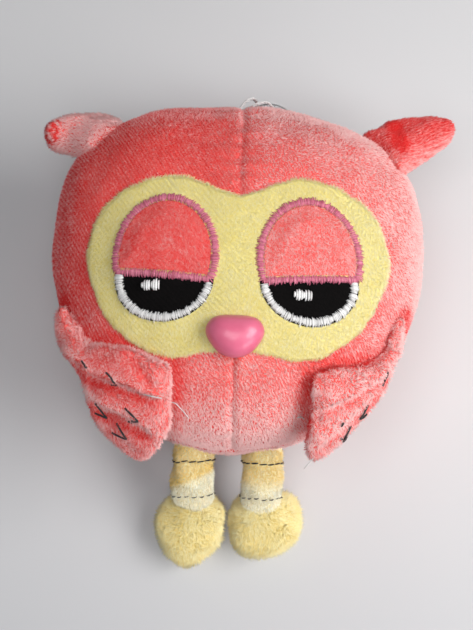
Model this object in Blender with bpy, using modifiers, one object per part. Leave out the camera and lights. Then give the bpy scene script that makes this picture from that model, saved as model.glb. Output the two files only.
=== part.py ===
# Plush owl, lying on its back with its face up.
# Lengths are in metres. X runs to the owl's own left, Y to its crown and Z to its front.
# The origin is the middle of the flat patch that the back rests on.

import math

import bmesh
import bpy
from mathutils import Matrix, Vector

# Body: a stuffed cushion, widest on the line Y = 0
body_width = 0.122
crown_reach = 0.047
bottom_reach = 0.068
body_depth = 0.074
back_press = 0.001
crown_power = 2.7
bottom_power = 2.0
depth_power = 2.3
body_divisions = 10

# Cloth and thread
cloth = 0.0012
seam_gap = 0.0005
clearance = 0.0003
overrun = 0.004
weld_distance = 0.000005

# A point of a unit sphere this near its equator counts as on it
equator_share = 0.001

# Steps of the smooth outlines, and of the search for a clear distance
outline_steps = 12
face_steps = 2
search_steps = 12

# Yellow face patch
face_half_width = 0.048
face_height = 0.058
face_top = 0.0133
face_shares = (
    (0.0, 0.117), (0.21, 0.05), (0.42, 0.0), (0.68, 0.045), (0.90, 0.17), (1.0, 0.40),
    (0.955, 0.60), (0.82, 0.81), (0.60, 0.955), (0.40, 1.0), (0.20, 0.98), (0.0, 0.964),
)

# Eyes, each laid on the face patch in layers
eye_side = 0.0223
eye_level = -0.0135
eye_half_width = 0.0167
eye_half_height = 0.0199
lid_trim_width = 0.0026
lid_edge_drop = 0.0074
lid_edge_slope = 0.103
rim_half_width = 0.0153
rim_half_height = 0.0133
rim_reach = 0.0203
rim_width = 0.0026
felt = 0.0009
lid_felt = 0.0014
glint_half_width = 0.0031
glint_height = 0.0034
glint_inset = 0.0028
glint_shares = (
    (-1.0, 0.15), (-0.85, 0.85), (-0.45, 1.0), (-0.12, 0.80), (0.0, 0.45), (0.12, 0.80),
    (0.45, 1.0), (0.85, 0.85), (1.0, 0.15), (0.55, 0.0), (-0.55, 0.0),
)
eye_segments = 28

# Plastic beak on a barbed shank, held by a washer behind the cloth
beak_width = 0.0182
beak_height = 0.0132
beak_rise = 0.0066
beak_level = -0.038
beak_shares = (
    (0.0, 0.50), (0.34, 0.45), (0.49, 0.20), (0.45, -0.08), (0.27, -0.37), (0.0, -0.50),
    (-0.27, -0.37), (-0.45, -0.08), (-0.49, 0.20), (-0.34, 0.45),
)
shank_radius = 0.002
shank_length = 0.0105
barb_height = 0.0004
barb_count = 4
washer_radius = 0.0066
washer_thickness = 0.0012
washer_dish = 0.0009
beak_roundness_share = 0.85
barb_step_share = 0.15
tip_taper_share = 0.35
tip_width_share = 0.6
washer_crown_share = 0.3
beak_segments = 20
beak_rings = 10
washer_segments = 20
shank_segments = 12

# Ears, stuffed tufts on the upper corners
ear_bearing = math.radians(37.7)
ear_length = 0.0235
ear_depth = 0.0135
ear_height = 0.038
ear_root_gap = 0.0012
ear_middle_shares = (0.33, 0.22)
ear_shares = (
    (-0.03, 0.30), (-0.01, 0.0), (-0.03, -0.31), (0.14, -0.35), (0.43, -0.14), (0.66, 0.13),
    (0.80, 0.43), (0.74, 0.70), (0.48, 0.80), (0.19, 0.70), (0.01, 0.55),
)
ear_segments = 16
ear_rings = 8

# Wings, padded leaves folded over the lower front
wing_length = 0.050
wing_root_x = 0.057
wing_root_y = -0.0275
wing_hinge_out = 0.0025
wing_hinge_drop = 0.003
wing_spread = 0.004
wing_overhang = 0.014
wing_bulge = 0.0048
wing_sink = 0.0056
wing_cloth = 0.0008
wing_middle_shares = (-0.33, -0.41)
wing_shares = (
    (0.0, 0.08), (-0.15, -0.07), (-0.32, -0.215), (-0.50, -0.29), (-0.70, -0.38), (-0.74, -0.62),
    (-0.73, -0.80), (-0.64, -0.895), (-0.48, -0.83), (-0.27, -0.61), (-0.13, -0.40), (0.0, -0.20),
    (0.025, -0.03),
)
wing_segments = 24
wing_rings = 8

# Legs, stuffed tubes sewn under the body, and the pads of the feet on their ends
leg_side = 0.0115
leg_radius = 0.0072
leg_reach = 0.015
leg_height = 0.0307
leg_root_radius = 0.0027
leg_root_hole = 0.0015
leg_flare_share = 0.55
leg_lean = math.radians(-40.0)
leg_segments = 14
leg_end_steps = 4
foot_side = 0.0129
foot_level = -0.0892
foot_half_width = 0.012
foot_half_length = 0.0121
foot_depth = 0.0136
foot_press = 0.0005
foot_shares = (
    (0.0, 1.0), (0.58, 0.93), (0.94, 0.48), (1.0, -0.05), (0.80, -0.56), (0.40, -0.88), (0.0, -1.0),
    (-0.40, -0.88), (-0.80, -0.56), (-1.0, -0.05), (-0.94, 0.48), (-0.58, 0.93),
)
foot_segments = 16
foot_rings = 8

# Pads are cut in two along their seam
pad_gap = 0.0013
filling_gap = 0.0017
filling_spread = 0.74
filling_rise = 0.70
pad_fullness = 0.62

# Suction cup on its cord loop, which leaves the centre seam at the crown
cup_x = 0.010
cup_y = 0.0585
cup_radius = 0.010
cup_height = 0.0096
neck_radius_share = 0.19
neck_low_share = 0.60
neck_high_share = 0.735
cup_shares = (
    (0.0, 1.0), (0.23, 0.985), (0.31, 0.91), (0.30, 0.80), (neck_radius_share, neck_high_share),
    (neck_radius_share, neck_low_share), (0.31, 0.52), (0.62, 0.36), (0.90, 0.13), (1.0, 0.045),
    (1.0, 0.0), (0.93, 0.0), (0.84, 0.05), (0.55, 0.24), (0.0, 0.34),
)
cup_segments = 20
loop_radius = 0.0006
loop_height = 0.0375
loop_spread = 0.0009
loop_step_share = 4

# The loop's way down to the cup's neck and back, as shares of the way in plan and of its height
loop_down_shares = (
    (-0.06, 0.30, 1.03), (0.22, 0.66, 1.05), (0.44, 0.83, 0.90), (0.52, 0.84, 0.61),
    (0.56, 0.84, 0.33), (0.60, 0.84, 0.22),
)
loop_turn_angles = (200, 160, 125, 90, 55, 20, -20)
loop_back_shares = (
    (1.40, 0.84, 0.22), (1.38, 0.78, 0.33), (1.18, 0.71, 0.61), (0.85, 0.60, 0.90),
    (0.50, 0.38, 1.02), (0.20, 0.16, 1.015),
)


def half(size):
    return size / 2


body_half = half(body_width)
body_half_depth = half(body_depth)
body_middle = body_half_depth - back_press


def reach_and_power(y):
    """How far the body runs from the line Y = 0 on y's side, and how square it is there."""
    if y >= 0:
        return crown_reach, crown_power
    return bottom_reach, bottom_power


def plan_share(x, y, side_reach=body_half, end_spread=0.0):
    """1 on the body's outline in plan, and 0 at its middle."""
    reach, power = reach_and_power(y)
    reach += end_spread
    return (abs(x / side_reach) ** power + abs(y / reach) ** power) ** (1 / power)


def depth_share(share):
    """How thick the body is where plan_share gives this share."""
    return max(0.0, 1 - min(share, 1.0) ** depth_power) ** (1 / depth_power)


def front_height(x, y):
    return body_middle + body_half_depth * depth_share(plan_share(x, y))


def plan_slope(x, y):
    """The direction in plan that leaves the body's outline square on at (x, y)."""
    reach, power = reach_and_power(y)
    return Vector((
        math.copysign(abs(x / body_half) ** (power - 1) / body_half, x),
        math.copysign(abs(y / reach) ** (power - 1) / reach, y),
        0.0,
    ))


def body_point(direction, outset):
    """The body's surface in this direction from its middle, moved out by outset."""
    aim = Vector((direction.x * body_half, 0.0, direction.z * body_half_depth))
    aim.y = direction.y * reach_and_power(direction.y)[0]
    share = plan_share(aim.x, aim.y)
    rise = abs(aim.z / body_half_depth)
    size = (share ** depth_power + rise ** depth_power) ** (1 / depth_power)
    point = aim / size
    share /= size
    rise /= size
    way = Vector((0.0, 0.0, math.copysign(rise ** (depth_power - 1) / body_half_depth, point.z)))
    if share > 0:
        power = reach_and_power(point.y)[1]
        way += plan_slope(point.x, point.y) * share ** (depth_power - power)
    point += way.normalized() * outset
    point.z = max(point.z + body_middle, -outset)
    return point


# Scene, collections and materials

for old in list(bpy.data.objects):
    bpy.data.objects.remove(old, do_unlink=True)


def new_collection(name):
    collection = bpy.data.collections.new(name)
    bpy.context.scene.collection.children.link(collection)
    return collection


owl = new_collection("plush_owl")
cutters = new_collection("cutters")


def new_material(name, colour, roughness, metallic=0.0):
    material = bpy.data.materials.new(name)
    material.use_nodes = True
    shader = material.node_tree.nodes["Principled BSDF"]
    shader.inputs["Base Color"].default_value = (*colour, 1.0)
    shader.inputs["Roughness"].default_value = roughness
    shader.inputs["Metallic"].default_value = metallic
    return material


coral_plush = new_material("coral_plush", (0.82, 0.26, 0.25), 0.95)
coral_lining = new_material("coral_lining", (0.78, 0.24, 0.24), 0.95)
yellow_plush = new_material("yellow_plush", (0.84, 0.74, 0.33), 0.95)
cream_plush = new_material("cream_plush", (0.86, 0.78, 0.48), 0.95)
yellow_fleece = new_material("yellow_fleece", (0.86, 0.74, 0.36), 0.97)
mauve_thread = new_material("mauve_thread", (0.55, 0.22, 0.23), 0.6)
white_thread = new_material("white_thread", (0.72, 0.70, 0.65), 0.6)
black_felt = new_material("black_felt", (0.01, 0.01, 0.012), 0.8)
pink_plastic = new_material("pink_plastic", (0.80, 0.17, 0.26), 0.15)
washer_plastic = new_material("washer_plastic", (0.75, 0.75, 0.73), 0.4)
fibre_filling = new_material("fibre_filling", (0.85, 0.85, 0.84), 1.0)
clear_vinyl = new_material("clear_vinyl", (0.82, 0.85, 0.86), 0.1)
white_cord = new_material("white_cord", (0.85, 0.85, 0.83), 0.7)


# Objects and modifiers

def new_object(name, mesh, material=None, collection=owl):
    thing = bpy.data.objects.new(name, mesh)
    collection.objects.link(thing)
    if material:
        mesh.materials.append(material)
        mesh.shade_smooth()
    else:
        thing.hide_render = True
        thing.display_type = "WIRE"
    return thing


def mesh_of(bm, name, origin=Vector()):
    """Ends bm as a mesh whose points are measured from origin."""
    bmesh.ops.translate(bm, verts=bm.verts, vec=-origin)
    mesh = bpy.data.meshes.new(name)
    bm.to_mesh(mesh)
    bm.free()
    return mesh


def new_pivot(name, location, parent=None):
    pivot = bpy.data.objects.new(name, None)
    pivot.empty_display_size = leg_radius
    owl.objects.link(pivot)
    pivot.location = location
    if parent:
        pivot.parent = parent
        pivot.location = location - parent.location
    return pivot


def thicken(thing, thickness, outward=False):
    solidify = thing.modifiers.new("cloth", "SOLIDIFY")
    solidify.thickness = thickness
    solidify.offset = 1.0 if outward else -1.0
    return solidify


def cut(thing, cutter, operation="DIFFERENCE"):
    boolean = thing.modifiers.new(operation.lower(), "BOOLEAN")
    boolean.operation = operation
    boolean.solver = "EXACT"
    boolean.object = cutter
    return boolean


def turn(thing, segments):
    screw = thing.modifiers.new("turned", "SCREW")
    screw.axis = "Z"
    screw.angle = math.tau
    screw.steps = segments
    screw.render_steps = segments
    screw.use_merge_vertices = True
    screw.merge_threshold = weld_distance
    return screw


def profile_mesh(name, points):
    """An edge chain in the XZ plane, for a Screw modifier."""
    mesh = bpy.data.meshes.new(name)
    corners = [(radius, 0.0, height) for radius, height in points]
    mesh.from_pydata(corners, [(n, n + 1) for n in range(len(corners) - 1)], [])
    return mesh


# Outlines in plan

def smooth_outline(points, per_span):
    """A closed Catmull-Rom curve through the points, with per_span steps in each span."""
    count = len(points)
    outline = []
    for index in range(count):
        before, start, end, after = (Vector(points[(index + n) % count]) for n in (-1, 0, 1, 2))
        for step in range(per_span):
            t = step / per_span
            outline.append(
                start + (end - before) * (t / 2)
                + (before * 2 - start * 5 + end * 4 - after) * (t * t / 2)
                + (start * 3 - before - end * 3 + after) * (t ** 3 / 2)
            )
    return outline


def even_outline(points, count):
    """The smooth closed curve through the points, as count points with even spacing."""
    fine = smooth_outline(points, outline_steps)
    lengths = [0.0]
    for index, corner in enumerate(fine):
        lengths.append(lengths[-1] + (fine[(index + 1) % len(fine)] - corner).length)
    outline = []
    place = 0
    for index in range(count):
        wanted = lengths[-1] * index / count
        while lengths[place + 1] < wanted:
            place += 1
        share = (wanted - lengths[place]) / (lengths[place + 1] - lengths[place])
        outline.append(fine[place].lerp(fine[(place + 1) % len(fine)], share))
    return outline


def turns_left(outline):
    pairs = zip(outline, outline[1:] + outline[:1])
    return sum(here.x * there.y - there.x * here.y for here, there in pairs) > 0


def grown(outline, distance):
    """The outline moved outward by distance."""
    sign = 1 if turns_left(outline) else -1
    count = len(outline)
    result = []
    for index, point in enumerate(outline):
        along = (outline[(index + 1) % count] - outline[index - 1]).normalized()
        result.append(point + Vector((along.y, -along.x)) * distance * sign)
    return result


def mirrored(outline, side):
    return [Vector((point.x * side, point.y)) for point in outline]


def ellipse(center, half_width, half_height):
    angles = (math.tau * n / eye_segments for n in range(eye_segments))
    return [center + Vector((half_width * math.cos(a), half_height * math.sin(a))) for a in angles]


def clipped(outline, point, normal):
    """The part of the outline on the side of the line that normal points to."""
    result = []
    for here, there in zip(outline, outline[1:] + outline[:1]):
        near = (here - point).dot(normal)
        far = (there - point).dot(normal)
        if near >= 0:
            result.append(here)
        if near * far < 0:
            result.append(here.lerp(there, near / (near - far)))
    return result


def prism(name, outline):
    """A cutter with this outline in plan, from the body's middle to above its front."""
    curve = bpy.data.curves.new(name, "CURVE")
    curve.dimensions = "2D"
    curve.fill_mode = "BOTH"
    spline = curve.splines.new("POLY")
    spline.points.add(len(outline) - 1)
    for corner, point in zip(spline.points, outline):
        corner.co = (point.x, point.y, 0.0, 1.0)
    spline.use_cyclic_u = True
    height = body_half_depth + overrun
    curve.extrude = half(height)
    source = bpy.data.objects.new(name + "_curve", curve)
    cutters.objects.link(source)
    graph = bpy.context.evaluated_depsgraph_get()
    mesh = bpy.data.meshes.new_from_object(source.evaluated_get(graph))
    bpy.data.objects.remove(source)
    bm = bmesh.new()
    bm.from_mesh(mesh)
    bmesh.ops.remove_doubles(bm, verts=bm.verts, dist=weld_distance)
    bmesh.ops.recalc_face_normals(bm, faces=bm.faces)
    bmesh.ops.translate(bm, verts=bm.verts, vec=Vector((0.0, 0.0, body_middle + half(height))))
    bm.to_mesh(mesh)
    bm.free()
    return new_object(name, mesh, collection=cutters)


# Body: three cloth panels round one filling

def body_surface(outset=0.0):
    bm = bmesh.new()
    bmesh.ops.create_cube(bm, size=1)
    bmesh.ops.subdivide_edges(bm, edges=bm.edges, cuts=body_divisions - 1, use_grid_fill=True)
    for vert in bm.verts:
        vert.co = body_point(vert.co * 2, outset)
    return bm


def keep_side(bm, point, normal):
    """Cuts the surface along a plane and keeps the side that normal points to."""
    geometry = bm.verts[:] + bm.edges[:] + bm.faces[:]
    bmesh.ops.bisect_plane(bm, geom=geometry, plane_co=point, plane_no=normal, clear_inner=True)


def front_surface(outset=0.0):
    bm = body_surface(outset)
    keep_side(bm, Vector((0.0, 0.0, body_middle + half(seam_gap))), Vector((0.0, 0.0, 1.0)))
    return bm


def make_face_outline():
    right = [
        Vector((across * face_half_width, face_top - down * face_height))
        for across, down in face_shares
    ]
    left = [Vector((-point.x, point.y)) for point in right[-2:0:-1]]
    return smooth_outline(right + left, face_steps)


face_outline = make_face_outline()


def make_body():
    opening = prism("face_opening", grown(face_outline, clearance))
    for side, name in ((1, "left"), (-1, "right")):
        bm = front_surface()
        keep_side(bm, Vector((side * half(seam_gap), 0.0, 0.0)), Vector((side, 0.0, 0.0)))
        panel = new_object("body_front_" + name, mesh_of(bm, "body_front_" + name), coral_plush)
        thicken(panel, cloth)
        cut(panel, opening)
    bm = body_surface()
    keep_side(bm, Vector((0.0, 0.0, body_middle - half(seam_gap))), Vector((0.0, 0.0, -1.0)))
    panel = new_object("body_back", mesh_of(bm, "body_back"), coral_plush)
    thicken(panel, cloth)
    bm = body_surface(-cloth - clearance)
    filling = new_object("body_filling", mesh_of(bm, "body_filling"), fibre_filling)
    cut(filling, washer_pocket)


# Beak, whose own Z axis leaves the face square on

def beak_frame():
    height = front_height(0.0, beak_level)
    step = clearance
    rise = front_height(0.0, beak_level + step) - height
    lean = math.atan2(rise, step)
    return Vector((0.0, beak_level, height)), lean


beak_seat, beak_lean = beak_frame()


def cylinder(name, radius, low, high, segments):
    """A cutter along the beak's own axis."""
    bm = bmesh.new()
    bmesh.ops.create_cone(
        bm, cap_ends=True, segments=segments, radius1=radius, radius2=radius, depth=high - low,
        matrix=Matrix.Translation(Vector((0.0, 0.0, half(high + low)))),
    )
    thing = new_object(name, mesh_of(bm, name), collection=cutters)
    place_on_beak_axis(thing)
    return thing


def place_on_beak_axis(thing):
    thing.location = beak_seat
    thing.rotation_euler.x = beak_lean


def make_beak():
    points = [Vector((x * beak_width, y * beak_height)) for x, y in beak_shares]
    outline = even_outline(points, beak_segments)
    bm = bmesh.new()
    bmesh.ops.create_uvsphere(bm, u_segments=beak_segments, v_segments=beak_rings, radius=1)
    lower = [vert for vert in bm.verts if vert.co.z < -equator_share]
    bmesh.ops.delete(bm, geom=lower, context="VERTS")
    for vert in bm.verts:
        edge = outline[segment_of(vert.co, beak_segments)]
        share = math.hypot(vert.co.x, vert.co.y)
        rise = clearance + beak_rise * max(vert.co.z, 0.0) ** beak_roundness_share
        vert.co = Vector((edge.x * share, edge.y * share, rise))
    rim = [edge for edge in bm.edges if edge.is_boundary]
    bmesh.ops.contextual_create(bm, geom=rim)
    bmesh.ops.recalc_face_normals(bm, faces=bm.faces)
    beak = new_object("beak", mesh_of(bm, "beak"), pink_plastic)
    place_on_beak_axis(beak)
    shank = new_object("beak_shank", profile_mesh("beak_shank", shank_profile()), collection=cutters)
    turn(shank, shank_segments)
    place_on_beak_axis(shank)
    cut(beak, shank, "UNION")


def shank_profile():
    """A barbed pin: each barb swells slowly from the tip side and ends in a step."""
    tip = -shank_length
    free = shank_length - washer_seat_depth() - washer_thickness - clearance
    pitch = free / (barb_count + 1)
    points = [(0.0, half(beak_rise)), (shank_radius, half(beak_rise))]
    for barb in range(barb_count):
        top = tip + pitch * (barb_count - barb)
        points.append((shank_radius, top))
        points.append((shank_radius + barb_height, top - pitch * barb_step_share))
    points.append((shank_radius, tip + pitch * tip_taper_share))
    points += [(shank_radius * tip_width_share, tip), (0.0, tip)]
    return points


def washer_seat_depth():
    """From the face's outer side down to the washer's upper side."""
    return cloth + washer_dish + clearance * 2


def make_washer():
    bore = shank_radius + barb_height + clearance
    top = -washer_seat_depth()
    middle = half(bore + washer_radius)
    crown = top + washer_dish * washer_crown_share
    points = [
        (bore, top), (middle, crown), (washer_radius, top - washer_dish),
        (washer_radius, top - washer_dish - washer_thickness),
        (middle, crown - washer_thickness), (bore, top - washer_thickness), (bore, top),
    ]
    washer = new_object("beak_washer", profile_mesh("beak_washer", points), washer_plastic)
    turn(washer, washer_segments)
    place_on_beak_axis(washer)


washer_pocket = cylinder(
    "washer_pocket", washer_radius + clearance * 2,
    -shank_length - clearance * 2, overrun, washer_segments,
)
shank_hole = cylinder(
    "shank_hole", shank_radius + clearance, -shank_length, overrun, shank_segments,
)


# Face patch and eyes, all cut from layers that follow the body's front

def layer(name, outline, material, low, high):
    """A layer with this outline in plan, from low to high above the body's cloth."""
    thing = new_object(name, mesh_of(front_surface(low), name), material)
    thicken(thing, high - low, outward=True)
    cut(thing, prism(name + "_outline", outline), "INTERSECT")
    return thing


def make_face_patch():
    patch = layer("face_patch", face_outline, yellow_plush, -cloth, 0.0)
    cut(patch, shank_hole)


def segment_of(place, segments):
    """Which of the segments of a unit sphere this vertex lies on."""
    return round(math.atan2(place.y, place.x) / math.tau * segments) % segments


def make_eye(side, name):
    center = Vector((eye_side, eye_level))
    edge_normal = Vector((-lid_edge_slope, 1.0)).normalized()
    edge = center - Vector((0.0, lid_edge_drop))
    whole = ellipse(center, eye_half_width, eye_half_height)
    trim = clipped(whole, edge, edge_normal)
    lid = clipped(
        ellipse(center, eye_half_width - lid_trim_width, eye_half_height - lid_trim_width),
        edge + edge_normal * lid_trim_width, edge_normal,
    )
    below = edge - edge_normal * clearance
    rim_middle = center - Vector((0.0, rim_reach - rim_half_height))
    rim = clipped(ellipse(rim_middle, rim_half_width, rim_half_height), below, -edge_normal)
    inside = ellipse(rim_middle, rim_half_width - rim_width, rim_half_height - rim_width)
    pupil = clipped(grown(inside, -clearance), below, -edge_normal)

    layer("eyelid_" + name, mirrored(lid, side), coral_plush, clearance, clearance + lid_felt)
    thing = layer(
        "eyelid_trim_" + name, mirrored(trim, side), mauve_thread, clearance, clearance + lid_felt,
    )
    cut(thing, prism("lid_place_" + name, mirrored(grown(lid, clearance), side)))
    thing = layer("eye_rim_" + name, mirrored(rim, side), white_thread, clearance, clearance + felt)
    cut(thing, prism("pupil_place_" + name, mirrored(inside, side)))
    layer("pupil_" + name, mirrored(pupil, side), black_felt, clearance, clearance + felt)

    glint_base = Vector((eye_side, edge.y - glint_inset - glint_height))
    glint = [
        glint_base + Vector((x * glint_half_width, y * glint_height)) for x, y in glint_shares
    ]
    low = clearance * 2 + felt
    layer("eye_glint_" + name, mirrored(glint, side), white_thread, low, low + half(felt))


# Pads: ears, wings and feet are each two cloth halves round a filling

def pad_surface(outline, middle, point_of, rings, side):
    """The half of a cushion over the outline that lies above or below its seam, or with side
    0 its filling. point_of takes a place in plan, a rise that is 1 at the crest, 0 on the seam
    and -1 underneath, how far to move off the seam, and how far the filling stays off what
    presses the cushion flat."""
    segments = len(outline)
    spread, height = (1.0, 1.0) if side else (filling_spread, filling_rise)
    bm = bmesh.new()
    bmesh.ops.create_uvsphere(bm, u_segments=segments, v_segments=rings, radius=1)
    other_half = []
    for vert in bm.verts:
        rise = 0.0 if abs(vert.co.z) < equator_share else vert.co.z
        if rise * side < 0:
            other_half.append(vert)
        share = math.hypot(vert.co.x, vert.co.y) * spread
        place = middle.lerp(outline[segment_of(vert.co, segments)], share)
        fullness = math.copysign(abs(rise) ** pad_fullness, rise) * height
        shift = 0.0 if rise else half(pad_gap) * side
        vert.co = point_of(place, fullness, shift, 0.0 if side else filling_gap)
    if not turns_left(outline):
        bmesh.ops.reverse_faces(bm, faces=bm.faces)
    bmesh.ops.delete(bm, geom=other_half, context="VERTS")
    return bm


def make_pad(names, surface, origin, pivot, materials, thickness):
    """names and materials are for the upper half, the lower half and the filling."""
    for name, side, material in zip(names, (1, -1, 0), materials):
        thing = new_object(name, mesh_of(surface(side), name, origin), material)
        thing.parent = pivot
        if side:
            thicken(thing, thickness)


def corner_of_body(bearing):
    """The body's outline in plan, in this direction from the middle."""
    way = Vector((math.cos(bearing), math.sin(bearing), 0.0))
    return way / plan_share(way.x, way.y)


def make_ear(side, name):
    corner = corner_of_body(ear_bearing)
    outward = plan_slope(corner.x, corner.y).normalized()
    along = Vector((outward.y, -outward.x, 0.0))
    root = corner + outward * ear_root_gap
    root.z = ear_height

    def place(shares):
        spot = root + outward * (shares[0] * ear_length) + along * (shares[1] * ear_length)
        return Vector((spot.x * side, spot.y))

    outline = even_outline([place(shares) for shares in ear_shares], ear_segments)

    def point_of(spot, rise, shift, inset):
        return Vector((spot.x, spot.y, ear_height + half(ear_depth) * rise + shift))

    def surface(half_side):
        return pad_surface(outline, place(ear_middle_shares), point_of, ear_rings, half_side)

    origin = Vector((root.x * side, root.y, root.z))
    pivot = new_pivot("ear_pivot_" + name, origin)
    names = [form + name for form in ("ear_front_", "ear_back_", "ear_filling_")]
    make_pad(names, surface, origin, pivot, (coral_plush, coral_plush, fibre_filling), cloth)


def off_body(point, distance):
    """Whether the point is more than about this distance off the body's cloth."""
    share = plan_share(point.x, point.y, body_half + distance, distance)
    rise = abs(point.z - body_middle) / (body_half_depth + distance)
    return share ** depth_power + rise ** depth_power > 1


def free_travel(start, way, wanted, inset):
    """How far start can move this way, up to the distance wanted, and stay off the body."""
    low, high = 0.0, wanted
    if off_body(start + way * wanted, clearance + inset):
        return wanted
    for _ in range(search_steps):
        middle = half(low + high)
        if off_body(start + way * middle, clearance + inset):
            low = middle
        else:
            high = middle
    return low


def wing_seam_height(x, y):
    """The wing's seam rides above the body, and runs on past its lower edge."""
    share = plan_share(x, y, body_half + wing_spread, wing_overhang)
    return body_middle + body_half_depth * depth_share(share)


def wing_seam(spot):
    """A place on the surface that holds the wing's seam, and the way out of that surface."""
    height = wing_seam_height(spot.x, spot.y)
    step = clearance
    slope_x = (wing_seam_height(spot.x + step, spot.y) - height) / step
    slope_y = (wing_seam_height(spot.x, spot.y + step) - height) / step
    return Vector((spot.x, spot.y, height)), Vector((-slope_x, -slope_y, 1.0)).normalized()


def make_wing(side, name):
    root = wing_seam(Vector((wing_root_x, wing_root_y)))[0]

    def place(shares):
        return Vector(((root.x + shares[0] * wing_length) * side, root.y + shares[1] * wing_length))

    outline = even_outline([place(shares) for shares in wing_shares], wing_segments)

    def point_of(spot, rise, shift, inset):
        seam, way = wing_seam(spot)
        if rise >= 0:
            return seam + way * (shift + rise * wing_bulge)
        return seam + way * shift - way * free_travel(seam, -way, -rise * wing_sink, inset)

    def surface(half_side):
        return pad_surface(outline, place(wing_middle_shares), point_of, wing_rings, half_side)

    origin = Vector(((root.x + wing_hinge_out) * side, root.y - wing_hinge_drop, root.z))
    pivot = new_pivot("wing_pivot_" + name, origin)
    names = [form + name for form in ("wing_outer_", "wing_lining_", "wing_filling_")]
    make_pad(names, surface, origin, pivot, (coral_plush, coral_lining, fibre_filling), wing_cloth)


# Legs and feet

def bottom_edge(x, height):
    """How far below Y = 0 the body's cloth lies at this place and height."""
    rise = abs(height - body_middle) / body_half_depth
    share = depth_share(rise)
    return bottom_reach * (share ** bottom_power - abs(x / body_half) ** bottom_power) ** (
        1 / bottom_power
    )


def hip_place(side):
    edge = bottom_edge(leg_side, leg_height)
    return Vector((leg_side * side, -edge - leg_root_radius - clearance, leg_height))


def leg_profile():
    """From the open root down round the end, which is a half ball round the ankle."""
    flare = half(leg_radius)
    mouth = math.sqrt(leg_root_radius ** 2 - leg_root_hole ** 2)
    points = [
        (leg_root_hole, mouth), (leg_root_radius, 0.0),
        (leg_root_radius + (leg_radius - leg_root_radius) * leg_flare_share, -half(flare)),
        (leg_radius, -flare), (leg_radius, -half(flare + leg_reach)), (leg_radius, -leg_reach),
    ]
    for step in range(1, leg_end_steps):
        angle = math.pi / 2 * step / leg_end_steps
        points.append((leg_radius * math.cos(angle), -leg_reach - leg_radius * math.sin(angle)))
    points.append((0.0, -leg_reach - leg_radius))
    return [Vector(point) for point in points]


def inset_profile(points, distance):
    """The profile moved in by distance, and closed on its axis at both ends."""
    result = []
    for index in range(1, len(points) - 1):
        along = (points[index + 1] - points[index - 1]).normalized()
        result.append(points[index] - Vector((-along.y, along.x)) * distance)
    top = Vector((0.0, points[0].y - distance - clearance))
    return [top] + result + [points[-1] + Vector((0.0, distance))]


def make_leg(side, name):
    hip = hip_place(side)
    pivot = new_pivot("hip_pivot_" + name, hip)
    profile = leg_profile()
    sleeve = new_object("leg_sleeve_" + name, profile_mesh("leg_sleeve_" + name, profile), cream_plush)
    turn(sleeve, leg_segments)
    thicken(sleeve, cloth)
    profile = inset_profile(profile, cloth + clearance)
    filling = new_object(
        "leg_filling_" + name, profile_mesh("leg_filling_" + name, profile), fibre_filling,
    )
    turn(filling, leg_segments)
    for thing in (sleeve, filling):
        thing.parent = pivot
        thing.rotation_euler.x = leg_lean
    reach = Vector((0.0, math.sin(leg_lean), -math.cos(leg_lean))) * leg_reach
    make_foot(side, name, hip + reach, pivot)


def make_foot(side, name, ankle, hip_pivot):
    middle = Vector((foot_side * side, foot_level))

    def place(shares):
        return middle + Vector((shares[0] * foot_half_width, shares[1] * foot_half_length))

    outline = even_outline([place(shares) for shares in foot_shares], foot_segments)

    def point_of(spot, rise, shift, inset):
        height = max(half(foot_depth) * (1 + rise) - foot_press, inset)
        return Vector((spot.x, spot.y, height + shift))

    def surface(half_side):
        return pad_surface(outline, middle, point_of, foot_rings, half_side)

    pivot = new_pivot("ankle_pivot_" + name, ankle, hip_pivot)
    names = [form + name for form in ("foot_top_", "foot_sole_", "foot_filling_")]
    make_pad(names, surface, ankle, pivot, (yellow_fleece, yellow_fleece, fibre_filling), cloth)


# Suction cup and its cord loop

def make_hanger():
    crown = Vector((0.0, crown_reach + clearance + loop_radius, loop_height))
    pivot = new_pivot("loop_pivot", crown)
    points = [(r * cup_radius, h * cup_height) for r, h in cup_shares]
    cup = new_object("suction_cup", profile_mesh("suction_cup", points), clear_vinyl)
    turn(cup, cup_segments)
    cup.parent = pivot
    cup.location = Vector((cup_x, cup_y, 0.0)) - crown
    make_loop(crown, pivot)


def make_loop(crown, pivot):
    """A cord that leaves the crown, goes round the cup's neck and comes back."""
    neck = Vector((cup_x, cup_y, cup_height * half(neck_low_share + neck_high_share)))
    around = cup_radius * neck_radius_share + clearance + loop_radius

    def on_the_way(shares):
        return Vector((
            neck.x * shares[0], crown.y + (neck.y - crown.y) * shares[1], loop_height * shares[2],
        ))

    route = [crown + Vector((-loop_spread, 0.0, 0.0))]
    route += [on_the_way(shares) for shares in loop_down_shares]
    for angle in loop_turn_angles:
        way = Vector((math.cos(math.radians(angle)), math.sin(math.radians(angle)), 0.0))
        route.append(neck + way * around)
    route += [on_the_way(shares) for shares in loop_back_shares]
    route.append(crown + Vector((loop_spread, 0.0, 0.0)))
    curve = bpy.data.curves.new("hanging_loop", "CURVE")
    curve.dimensions = "3D"
    curve.bevel_depth = loop_radius
    curve.bevel_resolution = 2
    curve.use_fill_caps = True
    spline = curve.splines.new("POLY")
    way = smooth_route(route)
    spline.points.add(len(way) - 1)
    for corner, point in zip(spline.points, way):
        corner.co = (*(point - crown), 1.0)
    cord = bpy.data.objects.new("hanging_loop", curve)
    curve.materials.append(white_cord)
    owl.objects.link(cord)
    cord.parent = pivot


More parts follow.
